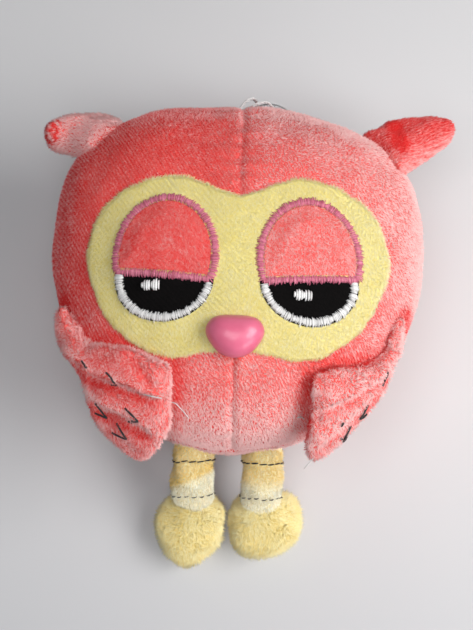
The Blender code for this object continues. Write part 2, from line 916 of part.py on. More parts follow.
def smooth_route(route):
    """An open Catmull-Rom curve through the route's points."""
    padded = [route[0] * 2 - route[1]] + route + [route[-1] * 2 - route[-2]]
    way = []
    for index in range(1, len(padded) - 2):
        before, start, end, after = padded[index - 1:index + 3]
        steps = max(1, round((end - start).length / (loop_radius * loop_step_share)))
        for step in range(steps):
            t = step / steps
            way.append(
                start + (end - before) * (t / 2)
                + (before * 2 - start * 5 + end * 4 - after) * (t * t / 2)
                + (start * 3 - before - end * 3 + after) * (t ** 3 / 2)
            )
    way.append(padded[-2])
    return way


make_body()
make_face_patch()
make_beak()
make_washer()
for side, name in ((1, "left"), (-1, "right")):
    make_eye(side, name)
    make_ear(side, name)
    make_wing(side, name)
    make_leg(side, name)
make_hanger()
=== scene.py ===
import math

import bmesh
import bpy
import numpy as np
from mathutils import Matrix, Vector
from mathutils.bvhtree import BVHTree


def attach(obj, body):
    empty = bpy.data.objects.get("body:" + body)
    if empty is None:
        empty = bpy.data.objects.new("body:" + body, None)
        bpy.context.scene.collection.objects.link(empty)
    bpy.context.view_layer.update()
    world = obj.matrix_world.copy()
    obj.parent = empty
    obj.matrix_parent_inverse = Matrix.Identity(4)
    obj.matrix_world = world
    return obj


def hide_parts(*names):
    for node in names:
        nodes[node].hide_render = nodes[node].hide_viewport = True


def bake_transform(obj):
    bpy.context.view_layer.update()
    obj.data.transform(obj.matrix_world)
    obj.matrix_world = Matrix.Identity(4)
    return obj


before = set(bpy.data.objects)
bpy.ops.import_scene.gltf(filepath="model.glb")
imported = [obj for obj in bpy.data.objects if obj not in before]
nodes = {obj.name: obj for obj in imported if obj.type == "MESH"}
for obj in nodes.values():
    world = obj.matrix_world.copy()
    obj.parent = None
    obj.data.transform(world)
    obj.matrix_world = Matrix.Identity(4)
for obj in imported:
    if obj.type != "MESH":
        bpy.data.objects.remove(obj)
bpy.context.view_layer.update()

scene = bpy.context.scene
scene.view_settings.view_transform = "Standard"

# camera: above the toy, a little towards its feet
print("stage: camera")
cameraSetup = {"place": (0.0003, -0.1468, 0.4997), "elevation": 75.0, "roll": 2.0, "lens": 82.97}


def makeCamera(setup):
    elevation = math.radians(setup["elevation"])
    roll = math.radians(setup["roll"])
    forward = Vector((0.0, math.cos(elevation), -math.sin(elevation)))
    upright = Vector((0.0, math.sin(elevation), math.cos(elevation)))
    level = Vector((1.0, 0.0, 0.0))
    right = level * math.cos(roll) + upright * math.sin(roll)
    up = upright * math.cos(roll) - level * math.sin(roll)
    data = bpy.data.cameras.new("photoCamera")
    data.lens = setup["lens"]
    data.clip_start = 0.01
    data.clip_end = 20.0
    camera = bpy.data.objects.new("photoCamera", data)
    scene.collection.objects.link(camera)
    turn = Matrix((right, up, -forward)).transposed().to_4x4()
    camera.matrix_world = Matrix.Translation(Vector(setup["place"])) @ turn
    scene.camera = camera


makeCamera(cameraSetup)

# shared mesh helpers


def newPiece(name, mesh, material):
    mesh.name = name
    piece = bpy.data.objects.new(name, mesh)
    scene.collection.objects.link(piece)
    mesh.materials.clear()
    mesh.materials.append(material)
    return piece


def meshFrom(name, points, faces, smooth=True):
    mesh = bpy.data.meshes.new(name)
    mesh.from_pydata([tuple(map(float, p)) for p in points], [], faces)
    mesh.validate()
    if smooth:
        mesh.shade_smooth()
    return mesh


def pointsOf(mesh):
    flat = np.empty(len(mesh.vertices) * 3)
    mesh.vertices.foreach_get("co", flat)
    return flat.reshape(-1, 3)


def normalsOf(mesh):
    flat = np.empty(len(mesh.vertices) * 3)
    mesh.vertex_normals.foreach_get("vector", flat)
    return flat.reshape(-1, 3)


def movePoints(mesh, points):
    mesh.vertices.foreach_set("co", np.asarray(points, np.float32).ravel())
    mesh.update()


def closeFaces(mesh):
    # welds doubles and turns every face outwards
    bm = bmesh.new()
    bm.from_mesh(mesh)
    bmesh.ops.remove_doubles(bm, verts=bm.verts, dist=1e-6)
    bmesh.ops.recalc_face_normals(bm, faces=bm.faces)
    bm.to_mesh(mesh)
    bm.free()
    mesh.shade_smooth()
    return mesh


def smoothCurve(points, step, closed=False):
    # Catmull-Rom through the points, with places about step apart
    points = [np.array(p, float) for p in points]
    count = len(points)
    if closed:
        padded = [points[-1]] + points + [points[0], points[1]]
        spans = count
    else:
        padded = [points[0] * 2 - points[1]] + points + [points[-1] * 2 - points[-2]]
        spans = count - 1
    way = []
    for index in range(1, spans + 1):
        before, start, end, after = padded[index - 1:index + 3]
        steps = max(1, round(np.linalg.norm(end - start) / step))
        for n in range(steps):
            t = n / steps
            way.append(
                start + (end - before) * (t / 2)
                + (before * 2 - start * 5 + end * 4 - after) * (t * t / 2)
                + (start * 3 - before - end * 3 + after) * (t ** 3 / 2)
            )
    if not closed:
        way.append(points[-1])
    return np.array(way)


def evenCurve(points, count, closed=True):
    # count places with even spacing along the smooth curve through the points
    size = max(np.ptp(np.array(points), axis=0))
    fine = smoothCurve(points, size / 400, closed)
    return evenPlaces(fine, count, closed)


def evenPlaces(path, count, closed):
    # count places with even spacing along a path of straight steps
    ring = np.vstack([path, path[:1]]) if closed else path
    lengths = np.concatenate([[0], np.cumsum(np.linalg.norm(np.diff(ring, axis=0), axis=1))])
    wanted = np.linspace(0, lengths[-1], count, endpoint=not closed)
    return np.stack([np.interp(wanted, lengths, ring[:, axis]) for axis in range(ring.shape[1])], 1)


def pathFrames(path):
    # along, side and over for each place on a path, turned as little as possible
    along = np.gradient(path, axis=0)
    along /= np.linalg.norm(along, axis=1)[:, None]
    side = np.cross(along[0], (0.0, 0.0, 1.0))
    if np.linalg.norm(side) < 0.1:
        side = np.cross(along[0], (1.0, 0.0, 0.0))
    sides = []
    for way in along:
        side = side - way * (side @ way)
        side = side / np.linalg.norm(side)
        sides.append(side)
    sides = np.array(sides)
    return along, sides, np.cross(along, sides)


def tubeAlong(path, radius, segments, twist=0.0, offset=0.0, phase=0.0):
    # points and faces of a closed tube; with offset it winds round the path
    path = np.asarray(path, float)
    _, side, over = pathFrames(path)
    lengths = np.concatenate([[0], np.cumsum(np.linalg.norm(np.diff(path, axis=0), axis=1))])
    turn = phase + lengths * twist
    middle = path + offset * (side * np.cos(turn)[:, None] + over * np.sin(turn)[:, None])
    radii = np.broadcast_to(np.asarray(radius, float), (len(path),))
    points, faces = [], []
    for index in range(len(path)):
        for n in range(segments):
            angle = math.tau * n / segments
            points.append(middle[index] + radii[index] * (
                side[index] * math.cos(angle) + over[index] * math.sin(angle)
            ))
    for index in range(len(path) - 1):
        for n in range(segments):
            a = index * segments + n
            b = index * segments + (n + 1) % segments
            faces.append((a, b, b + segments, a + segments))
    faces.append(tuple(range(segments))[::-1])
    last = (len(path) - 1) * segments
    faces.append(tuple(last + n for n in range(segments)))
    return points, faces


def joined(parts):
    points, faces = [], []
    for somePoints, someFaces in parts:
        base = len(points)
        points += list(somePoints)
        faces += [tuple(base + corner for corner in face) for face in someFaces]
    return points, faces


def softNoise(points, size, seed, waves=7):
    # smooth uneven swell between about -1 and 1, with bumps of about this size
    random = np.random.default_rng(seed)
    ways = random.normal(size=(waves, points.shape[1]))
    ways /= np.linalg.norm(ways, axis=1)[:, None]
    pitches = size * random.uniform(0.7, 1.5, waves)
    phases = random.uniform(0, math.tau, waves)
    total = sum(np.sin(points @ way * (math.tau / pitch) + phase)
                for way, pitch, phase in zip(ways, pitches, phases))
    return total / math.sqrt(waves) * 0.8


def alongSight(places, measured, height):
    # moves places seen at one height to another height on the same line from the camera
    eye = np.array(cameraSetup["place"])
    share = (eye[2] - height) / (eye[2] - measured)
    return eye[:2] + (places - eye[:2]) * np.asarray(share)[..., None]


def drawnIn(outline, distance):
    # the closed outline, moved inwards
    ahead = np.roll(outline, -1, axis=0) - np.roll(outline, 1, axis=0)
    inward = np.stack([-ahead[:, 1], ahead[:, 0]], 1)
    inward /= np.linalg.norm(inward, axis=1)[:, None]
    x, y = outline.T
    area = np.sum(x * np.roll(y, -1) - y * np.roll(x, -1))
    return outline + inward * np.sign(area) * np.asarray(distance)[..., None]


def edgeDistance(places, outline):
    # distance in plan to a closed outline, and whether each place is inside it
    starts = outline
    ends = np.roll(outline, -1, axis=0)
    best = np.full(len(places), 1e9)
    inside = np.zeros(len(places), bool)
    for start, end in zip(starts, ends):
        span = end - start
        share = np.clip((places - start) @ span / max(span @ span, 1e-16), 0, 1)
        gap = np.linalg.norm(places - start - share[:, None] * span, axis=1)
        best = np.minimum(best, gap)
        crosses = (start[1] > places[:, 1]) != (end[1] > places[:, 1])
        rise = span[1] if abs(span[1]) > 1e-12 else 1e-12
        across = start[0] + (places[:, 1] - start[1]) / rise * span[0]
        inside ^= crosses & (places[:, 0] < across)
    return best, inside


def lineDistance(places, line):
    # distance to an open line, its sign (plus on the left), and how far along the line, 0 to 1
    best = np.full(len(places), 1e9)
    sign = np.ones(len(places))
    along = np.zeros(len(places))
    count = len(line) - 1
    for index in range(count):
        start, span = line[index], line[index + 1] - line[index]
        share = np.clip((places - start) @ span / (span @ span), 0, 1)
        apart = places - start - share[:, None] * span
        gap = np.linalg.norm(apart, axis=1)
        nearer = gap < best
        turned = span[0] * (places[:, 1] - start[1]) - span[1] * (places[:, 0] - start[0])
        best = np.where(nearer, gap, best)
        sign = np.where(nearer, np.sign(turned), sign)
        along = np.where(nearer, (index + share) / count, along)
    return best, sign, along


def eased(value, low, high):
    share = np.clip((value - low) / (high - low), 0, 1)
    return share * share * (3 - 2 * share)


# shader node groups, built once and used by several finishes
print("stage: finishes")


def newGroup(name, inputs, outputs):
    group = bpy.data.node_groups.new(name, "ShaderNodeTree")
    for label, kind, value in inputs:
        socket = group.interface.new_socket(name=label, in_out="INPUT", socket_type=kind)
        if value is not None:
            socket.default_value = value
    for label, kind in outputs:
        group.interface.new_socket(name=label, in_out="OUTPUT", socket_type=kind)
    return group, group.nodes.new("NodeGroupInput"), group.nodes.new("NodeGroupOutput")


def addNode(tree, kind, values=None, **settings):
    node = tree.nodes.new(kind)
    for key, value in settings.items():
        setattr(node, key, value)
    for key, value in (values or {}).items():
        if isinstance(value, bpy.types.NodeSocket):
            tree.links.new(value, node.inputs[key])
        else:
            node.inputs[key].default_value = value
    return node


def mixColours(tree, share, first, second, blend="MIX"):
    node = tree.nodes.new("ShaderNodeMix")
    node.data_type = "RGBA"
    node.blend_type = blend
    for index, value in ((0, share), (6, first), (7, second)):
        if isinstance(value, bpy.types.NodeSocket):
            tree.links.new(value, node.inputs[index])
        else:
            node.inputs[index].default_value = value
    return node.outputs[2]


def mathNode(tree, operation, first, second=0.0, third=0.0):
    node = tree.nodes.new("ShaderNodeMath")
    node.operation = operation
    for index, value in enumerate((first, second, third)):
        if isinstance(value, bpy.types.NodeSocket):
            tree.links.new(value, node.inputs[index])
        else:
            node.inputs[index].default_value = value
    return node.outputs[0]


def mixShaders(tree, share, first, second, end):
    # first where the share is 0, second where it is 1, into the end node's surface
    mix = addNode(tree, "ShaderNodeMixShader", {"Fac": share})
    tree.links.new(first.outputs[0], mix.inputs[1])
    tree.links.new(second.outputs[0], mix.inputs[2])
    tree.links.new(mix.outputs[0], end.inputs["Surface"])


def objectPlace(tree):
    return addNode(tree, "ShaderNodeTexCoord").outputs["Object"]


def storedValue(tree, name):
    return addNode(tree, "ShaderNodeAttribute", attribute_name=name).outputs["Fac"]


def limited(tree, share):
    return mathNode(tree, "MAXIMUM", mathNode(tree, "MINIMUM", share, 1.0), 0.0)


def makePileGroup():
    # colour of a pile fibre: deep at its root, pale at its tip, in uneven brushed patches
    group, enter, leave = newGroup("pileColour", (
        ("Root", "NodeSocketColor", (0.6, 0.05, 0.04, 1)),
        ("Tip", "NodeSocketColor", (0.9, 0.4, 0.38, 1)),
        ("Patch size", "NodeSocketFloat", 0.006),
        ("Patch strength", "NodeSocketFloat", 0.3),
        ("Level", "NodeSocketFloat", 0.075),
    ), (("Colour", "NodeSocketColor"),))
    place = objectPlace(group)
    tip = storedValue(group, "tip")
    shade = storedValue(group, "shade")
    tone = storedValue(group, "tone")
    scale = mathNode(group, "DIVIDE", 1.0, enter.outputs["Patch size"])
    patches = addNode(group, "ShaderNodeTexNoise", {"Vector": place, "Scale": scale, "Detail": 3.0})
    share = mathNode(group, "MULTIPLY_ADD", shade, 0.34, enter.outputs["Level"])
    share = mathNode(group, "MULTIPLY_ADD", tip, 0.34, share)
    uneven = mathNode(group, "SUBTRACT", patches.outputs["Fac"], 0.5)
    share = mathNode(group, "MULTIPLY_ADD", uneven, enter.outputs["Patch strength"], share)
    # the tone adds painted light and shade given per piece, with the wale and tuft variation
    share = mathNode(group, "MULTIPLY_ADD", tone, 0.62, share)
    share = limited(group, share)
    colour = mixColours(group, share, enter.outputs["Root"], enter.outputs["Tip"])
    group.links.new(colour, leave.inputs["Colour"])
    return group


def makeClothGroup():
    # the knitted ground that the pile stands on: fine wales, fuzz and brushed patches
    group, enter, leave = newGroup("clothGround", (
        ("Deep", "NodeSocketColor", (0.6, 0.05, 0.04, 1)),
        ("Light", "NodeSocketColor", (0.9, 0.4, 0.38, 1)),
        ("Wale pitch", "NodeSocketFloat", 0.0011),
        ("Fuzz size", "NodeSocketFloat", 0.0006),
    ), (("Colour", "NodeSocketColor"), ("Height", "NodeSocketFloat")))
    place = objectPlace(group)
    fuzzScale = mathNode(group, "DIVIDE", 1.0, enter.outputs["Fuzz size"])
    fuzz = addNode(group, "ShaderNodeTexNoise", {"Vector": place, "Scale": fuzzScale, "Detail": 4.0})
    patches = addNode(group, "ShaderNodeTexNoise", {"Vector": place, "Scale": 160.0, "Detail": 3.0})
    waveScale = mathNode(group, "DIVIDE", 0.314, enter.outputs["Wale pitch"])
    wave = addNode(group, "ShaderNodeTexWave",
                   {"Vector": place, "Scale": waveScale, "Distortion": 1.2, "Detail Scale": 2.0},
                   wave_type="BANDS", bands_direction="DIAGONAL")
    share = mathNode(group, "MULTIPLY_ADD", patches.outputs["Fac"], 0.5, -0.1)
    share = mathNode(group, "MULTIPLY_ADD", fuzz.outputs["Fac"], 0.7, share)
    share = mathNode(group, "MULTIPLY_ADD", wave.outputs["Fac"], 0.15, share)
    share = limited(group, share)
    colour = mixColours(group, share, enter.outputs["Deep"], enter.outputs["Light"])
    height = mathNode(group, "MULTIPLY_ADD", wave.outputs["Fac"], 0.4, fuzz.outputs["Fac"])
    group.links.new(colour, leave.inputs["Colour"])
    group.links.new(height, leave.inputs["Height"])
    return group


def makeThreadGroup():
    # twisted embroidery thread: fine streaks across its length and an uneven dye
    group, enter, leave = newGroup("threadTwist", (
        ("Dark", "NodeSocketColor", (0.3, 0.1, 0.1, 1)),
        ("Light", "NodeSocketColor", (0.9, 0.5, 0.6, 1)),
        ("Twist size", "NodeSocketFloat", 0.00035),
    ), (("Colour", "NodeSocketColor"), ("Height", "NodeSocketFloat")))
    place = objectPlace(group)
    shade = storedValue(group, "shade")
    scale = mathNode(group, "DIVIDE", 1.0, enter.outputs["Twist size"])
    twist = addNode(group, "ShaderNodeTexNoise", {"Vector": place, "Scale": scale, "Detail": 2.0})
    share = mathNode(group, "MULTIPLY_ADD", shade, 0.6, -0.1)
    share = mathNode(group, "MULTIPLY_ADD", twist.outputs["Fac"], 0.6, share)
    share = limited(group, share)
    colour = mixColours(group, share, enter.outputs["Dark"], enter.outputs["Light"])
    group.links.new(colour, leave.inputs["Colour"])
    group.links.new(twist.outputs["Fac"], leave.inputs["Height"])
    return group


def makePileNormalGroup():
    # shading of a fibre, mostly that of the cloth that it lies on
    group, enter, leave = newGroup("pileNormal", (("Own share", "NodeSocketFloat", 0.4),),
                                   (("Normal", "NodeSocketVector"),))
    lean = addNode(group, "ShaderNodeAttribute", attribute_name="lean").outputs["Vector"]
    turned = addNode(group, "ShaderNodeVectorTransform", {"Vector": lean},
                     vector_type="NORMAL", convert_from="OBJECT", convert_to="WORLD")
    own = addNode(group, "ShaderNodeNewGeometry").outputs["Normal"]
    share = {0: own, "Scale": enter.outputs["Own share"]}
    scaled = addNode(group, "ShaderNodeVectorMath", share, operation="SCALE")
    both = {0: scaled.outputs[0], 1: turned.outputs[0]}
    added = addNode(group, "ShaderNodeVectorMath", both, operation="ADD")
    even = addNode(group, "ShaderNodeVectorMath", {0: added.outputs[0]}, operation="NORMALIZE")
    group.links.new(even.outputs[0], leave.inputs["Normal"])
    return group


pileGroup = makePileGroup()
pileNormalGroup = makePileNormalGroup()
clothGroup = makeClothGroup()
threadGroup = makeThreadGroup()


def newFinish(name, shine):
    material = bpy.data.materials.new(name)
    material.use_nodes = True
    shader = material.node_tree.nodes["Principled BSDF"]
    for key, value in shine.items():
        shader.inputs[key].default_value = value
    return material, material.node_tree, shader


def groupNode(tree, group, values):
    node = tree.nodes.new("ShaderNodeGroup")
    node.node_tree = group
    for key, value in values.items():
        node.inputs[key].default_value = value
    return node


def bumpInto(tree, shader, height, strength, distance):
    bump = addNode(tree, "ShaderNodeBump", {"Height": height, "Strength": strength, "Distance": distance})
    tree.links.new(bump.outputs["Normal"], shader.inputs["Normal"])


def pileFinish(name, root, tip, patch=0.006, strength=0.4, sheen=0.8, tint=(1.0, 0.94, 0.90), level=0.075):
    material, tree, shader = newFinish(name, {
        "Roughness": 0.9, "Specular IOR Level": 0.1, "Sheen Weight": sheen, "Sheen Roughness": 0.5,
        "Sheen Tint": (*tint, 1),
    })
    normal = groupNode(tree, pileNormalGroup, {"Own share": 0.3})
    tree.links.new(normal.outputs["Normal"], shader.inputs["Normal"])
    node = groupNode(tree, pileGroup, {
        "Root": (*root, 1), "Tip": (*tip, 1), "Patch size": patch, "Patch strength": strength, "Level": level,
    })
    tree.links.new(node.outputs["Colour"], shader.inputs["Base Color"])
    return material


def clothFinish(name, deep, light, fuzz=0.0006, bump=0.0003):
    material, tree, shader = newFinish(name, {"Roughness": 0.95, "Specular IOR Level": 0.1})
    node = groupNode(tree, clothGroup, {"Deep": (*deep, 1), "Light": (*light, 1), "Fuzz size": fuzz})
    tree.links.new(node.outputs["Colour"], shader.inputs["Base Color"])
    bumpInto(tree, shader, node.outputs["Height"], 0.8, bump)
    return material


def threadFinish(name, dark, light, rough=0.4, sheen=0.3):
    material, tree, shader = newFinish(name, {
        "Roughness": rough, "Specular IOR Level": 0.5, "Sheen Weight": sheen, "Sheen Roughness": 0.3,
    })
    node = groupNode(tree, threadGroup, {"Dark": (*dark, 1), "Light": (*light, 1)})
    tree.links.new(node.outputs["Colour"], shader.inputs["Base Color"])
    bumpInto(tree, shader, node.outputs["Height"], 0.5, 0.0001)
    return material


coralPile = pileFinish("coralPile", (0.88, 0.028, 0.027), (1.0, 0.60, 0.58), sheen=0.35,
                       tint=(1.0, 0.62, 0.60), level=0.04)
coralGround = clothFinish("coralGround", (0.86, 0.04, 0.035), (0.96, 0.18, 0.16))
yellowPile = pileFinish("yellowPile", (0.86, 0.69, 0.15), (0.97, 0.92, 0.62), strength=0.35)
yellowGround = clothFinish("yellowGround", (0.80, 0.64, 0.16), (0.95, 0.86, 0.38))
creamPile = pileFinish("creamPile", (0.95, 0.66, 0.20), (1.0, 0.98, 0.78), strength=0.5)
creamGround = clothFinish("creamGround", (0.86, 0.66, 0.24), (0.96, 0.90, 0.58))
fleecePile = pileFinish("fleecePile", (0.96, 0.70, 0.18), (1.0, 0.97, 0.62), patch=0.009, strength=0.5)
fleeceGround = clothFinish("fleeceGround", (0.84, 0.62, 0.18), (0.95, 0.86, 0.40))
mauveThread = threadFinish("mauveThread", (0.36, 0.035, 0.08), (0.86, 0.27, 0.39), rough=0.25)
whiteThread = threadFinish("whiteThread", (0.50, 0.49, 0.48), (0.97, 0.96, 0.95))
blackThread = threadFinish("blackThread", (0.002, 0.001, 0.001), (0.011, 0.008, 0.008), sheen=0.0)
blackFelt = pileFinish("blackFelt", (0.001, 0.001, 0.001), (0.005, 0.004, 0.004), sheen=0.0)
blackGround = clothFinish("blackGround", (0.001, 0.001, 0.001), (0.004, 0.003, 0.003))
cordThread = threadFinish("cordThread", (0.62, 0.60, 0.59), (0.92, 0.91, 0.90), rough=0.5)


def plasticFinish(name, dark, light, shine):
    # moulded plastic: slow flow marks in the colour and a faint ripple
    material, tree, shader = newFinish(name, shine)
    place = objectPlace(tree)
    flow = addNode(tree, "ShaderNodeTexNoise", {"Vector": place, "Scale": 220.0, "Detail": 3.0})
    colour = mixColours(tree, flow.outputs["Fac"], (*dark, 1), (*light, 1))
    tree.links.new(colour, shader.inputs["Base Color"])
    bumpInto(tree, shader, flow.outputs["Fac"], 0.12, 0.0004)
    return material


beakPlastic = plasticFinish("beakPlastic", (0.66, 0.10, 0.195), (0.75, 0.16, 0.27), {
    "Roughness": 0.34, "Specular IOR Level": 0.5, "Coat Weight": 0.3, "Coat Roughness": 0.2,
})
washerPlastic = plasticFinish("washerPlastic", (0.70, 0.70, 0.68), (0.80, 0.80, 0.78), {"Roughness": 0.45})
clearVinyl = plasticFinish("clearVinyl", (0.96, 0.97, 0.98), (1.0, 1.0, 1.0), {
    "Roughness": 0.12, "IOR": 1.3, "Transmission Weight": 1.0,
})

# the cord loop comes first, with the cup that hangs in it
print("stage: cord loop and cup")
hangerSizes = {
    "exit": (-0.0009, 0.0479, 0.0375), "entry": (0.0009, 0.0479, 0.0375),
    "neck": (0.010, 0.0585, 0.006408), "around": 0.0028, "loopHeight": 0.0375,
    "down": ((-0.06, 0.26, 1.01), (0.20, 0.56, 0.99), (0.42, 0.76, 0.85), (0.52, 0.82, 0.60),
             (0.56, 0.84, 0.33), (0.60, 0.84, 0.22)),
    "turns": (200, 160, 125, 90, 55, 20, -20),
    "back": ((1.40, 0.84, 0.22), (1.38, 0.78, 0.33), (1.18, 0.71, 0.61), (0.85, 0.60, 0.90),
             (0.50, 0.38, 1.02), (0.20, 0.16, 1.015)),
    "diameter": 0.0012, "plyTwist": 1500.0, "plySegments": 8,
    "cupRadius": 0.010, "cupHeight": 0.0096, "cupSegments": 72,
    "cupShares": (
        (0.0, 1.0), (0.12, 1.0), (0.23, 0.985), (0.30, 0.93), (0.32, 0.87), (0.29, 0.79), (0.21, 0.74),
        (0.19, 0.67), (0.21, 0.60), (0.31, 0.52), (0.46, 0.44), (0.62, 0.36), (0.77, 0.24), (0.90, 0.13),
        (0.98, 0.06), (1.0, 0.02), (0.985, 0.0), (0.93, 0.0), (0.84, 0.05), (0.70, 0.15), (0.55, 0.24),
        (0.30, 0.31), (0.0, 0.34),
    ),
}


def loopRoute(s):
    crown = np.array((0.0, s["exit"][1], s["loopHeight"]))
    neck = np.array(s["neck"])

    def onTheWay(shares):
        return np.array((neck[0] * shares[0], crown[1] + (neck[1] - crown[1]) * shares[1],
                         s["loopHeight"] * shares[2]))

    route = [np.array(s["exit"])] + [onTheWay(shares) for shares in s["down"]]
    for angle in s["turns"]:
        turn = math.radians(angle)
        route.append(neck + np.array((math.cos(turn), math.sin(turn), 0.0)) * s["around"])
    return route + [onTheWay(shares) for shares in s["back"]] + [np.array(s["entry"])]


def makeHanger(s):
    path = smoothCurve(loopRoute(s), 0.0004)
    ply = s["diameter"] / 4
    parts = [tubeAlong(path, ply * 1.06, s["plySegments"], s["plyTwist"], ply * 0.94, phase)
             for phase in (0.0, math.pi)]
    loop = newPiece("hangingLoop", meshFrom("hangingLoop", *joined(parts)), cordThread)
    profile = [(r * s["cupRadius"], h * s["cupHeight"]) for r, h in s["cupShares"]]
    points, faces = [], []
    count = s["cupSegments"]
    for radius, height in profile:
        for n in range(count):
            angle = math.tau * n / count
            points.append((s["neck"][0] + radius * math.cos(angle),
                           s["neck"][1] + radius * math.sin(angle), height))
    for ring in range(len(profile) - 1):
        for n in range(count):
            a, b = ring * count + n, ring * count + (n + 1) % count
            faces.append((a, a + count, b + count, b))
    cup = newPiece("suctionCup", closeFaces(meshFrom("suctionCup", points, faces)), clearVinyl)
    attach(loop, "hanger")
    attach(cup, "hanger")
    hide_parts("hanging_loop")
    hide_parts("suction_cup")


makeHanger(hangerSizes)

# the form of the body, as in the part
print("stage: body")
bodyForm = {
    "halfWidth": 0.061, "crownReach": 0.047, "bottomReach": 0.068, "halfDepth": 0.037, "middle": 0.036,
    "crownPower": 2.7, "bottomPower": 2.0, "depthPower": 2.3,
}


def reachAndPower(y, spread=0.0):
    reach = np.where(y >= 0, bodyForm["crownReach"], bodyForm["bottomReach"]) + spread
    return reach, np.where(y >= 0, bodyForm["crownPower"], bodyForm["bottomPower"])


def planShare(x, y, sideSpread=0.0, endSpread=0.0):
    reach, power = reachAndPower(y, endSpread)
    side = bodyForm["halfWidth"] + sideSpread
    return (np.abs(x / side) ** power + np.abs(y / reach) ** power) ** (1 / power)


def depthShare(share):
    power = bodyForm["depthPower"]
    return np.clip(1 - np.clip(share, 0, 1) ** power, 0, 1) ** (1 / power)


def frontHeight(x, y):
    return bodyForm["middle"] + bodyForm["halfDepth"] * depthShare(planShare(x, y))


def frontNormal(x, y, form=frontHeight, step=1e-4):
    slopeX = (form(x + step, y) - form(x - step, y)) / (2 * step)
    slopeY = (form(x, y + step) - form(x, y - step)) / (2 * step)
    normal = np.stack([-slopeX, -slopeY, np.ones_like(slopeX)], -1)
    return normal / np.linalg.norm(normal, axis=-1)[..., None]


faceForm = {
    "halfWidth": 0.048, "height": 0.058, "top": 0.0133,
    "shares": (
        (0.0, 0.117), (0.21, 0.05), (0.42, 0.0), (0.68, 0.045), (0.90, 0.17), (1.0, 0.40),
        (0.955, 0.60), (0.82, 0.81), (0.60, 0.955), (0.40, 1.0), (0.20, 0.98), (0.0, 0.964),
    ),
    "outlinePlaces": 260, "waver": 0.00022, "waverSize": 0.006,
}


def faceOutline(f):
    right = [(across * f["halfWidth"], f["top"] - down * f["height"]) for across, down in f["shares"]]
    left = [(-x, y) for x, y in right[-2:0:-1]]
    outline = evenCurve(right + left, f["outlinePlaces"])
    normal = np.roll(outline, -1, axis=0) - np.roll(outline, 1, axis=0)
    normal = np.stack([normal[:, 1], -normal[:, 0]], 1)
    normal /= np.linalg.norm(normal, axis=1)[:, None]
    return outline + normal * (softNoise(outline, f["waverSize"], 11) * f["waver"])[:, None]


faceEdge = faceOutline(faceForm)

bodyLook = {
    "divisions": 104, "lump": 0.00045, "lumpSize": 0.030, "smallLump": 0.00022, "smallLumpSize": 0.010,
    "seamDip": 0.0011, "seamWidth": 0.0011, "pucker": 0.00034, "puckerPitch": 0.0062, "puckerReach": 0.006,
    "patchDip": 0.0004, "patchDipWidth": 0.0010, "sideDip": 0.0010,
    "shoulders": (((0.044, 0.039, 0.040), 0.016, 0.0034), ((-0.040, 0.042, 0.040), 0.013, 0.0014)),
}


def bodyRelief(points):
    # how far the cloth stands off the plain form: lumps, seams and puckers
    b = bodyLook
    relief = b["lump"] * softNoise(points, b["lumpSize"], 3)
    relief += b["smallLump"] * softNoise(points, b["smallLumpSize"], 4)
    x, y, z = points.T
    front = eased(z, bodyForm["middle"] - 0.002, bodyForm["middle"] + 0.004)
    onForehead = eased(y, 0.0045, 0.008)
    onBelly = eased(-y, 0.0415, 0.044)
    centre = front * np.maximum(onForehead, onBelly)
    wander = x - 0.0004 * softNoise(np.stack([y, z], 1), 0.012, 5)
    relief -= b["seamDip"] * centre * np.exp(-(wander / b["seamWidth"]) ** 2)
    folds = y * math.tau / b["puckerPitch"] + 1.3 * softNoise(np.stack([y, z], 1), 0.02, 6)
    folds = np.sin(folds + 3 * np.sign(x))
    relief += b["pucker"] * centre * folds * np.exp(-np.abs(x) / b["puckerReach"])
    distance, _ = edgeDistance(points[:, :2], faceEdge)
    relief -= b["patchDip"] * front * np.exp(-(distance / b["patchDipWidth"]) ** 2)
    for place, size, depth in b["shoulders"]:
        relief -= depth * np.exp(-(np.linalg.norm(points - place, axis=1) / size) ** 2)
    side = z - bodyForm["middle"] - 0.0006 * softNoise(points[:, :2], 0.02, 7)
    relief -= b["sideDip"] * np.exp(-(side / 0.0012) ** 2)
    return relief


def bodyMaster(divisions):
    bm = bmesh.new()
    bmesh.ops.create_cube(bm, size=2)
    bmesh.ops.subdivide_edges(bm, edges=bm.edges, cuts=divisions - 1, use_grid_fill=True)
    mesh = bpy.data.meshes.new("bodyMaster")
    bm.to_mesh(mesh)
    bm.free()
    way = pointsOf(mesh)
    f = bodyForm
    reach, _ = reachAndPower(way[:, 1])
    # a quarter turn spaces the places evenly over each side
    way = np.tan(way * (math.pi / 4))
    aim = np.stack([way[:, 0] * f["halfWidth"], way[:, 1] * reach, way[:, 2] * f["halfDepth"]], 1)
    share = planShare(aim[:, 0], aim[:, 1])
    rise = np.abs(aim[:, 2] / f["halfDepth"])
    size = (share ** f["depthPower"] + rise ** f["depthPower"]) ** (1 / f["depthPower"])
    points = aim / size[:, None]
    points[:, 2] += f["middle"]
    movePoints(mesh, points)
    normals = normalsOf(mesh)
    points = points + normals * bodyRelief(points)[:, None]
    points[:, 2] = np.maximum(points[:, 2], 0.0)
    movePoints(mesh, points)
    mesh.shade_smooth()
    return mesh


masterMesh = bodyMaster(bodyLook["divisions"])


def cutMesh(mesh, name, planes, capped=True):
    bm = bmesh.new()
    bm.from_mesh(mesh)
    for place, normal in planes:
        result = bmesh.ops.bisect_plane(
            bm, geom=bm.verts[:] + bm.edges[:] + bm.faces[:],
            plane_co=place, plane_no=normal, clear_inner=True,
        )
        edges = [e for e in result["geom_cut"] if isinstance(e, bmesh.types.BMEdge)]
        if capped:
            filled = bmesh.ops.contextual_create(bm, geom=edges)
            for face in filled["faces"]:
                face.smooth = False
    cutOut = bpy.data.meshes.new(name)
    bm.to_mesh(cutOut)
    bm.free()
    return cutOut


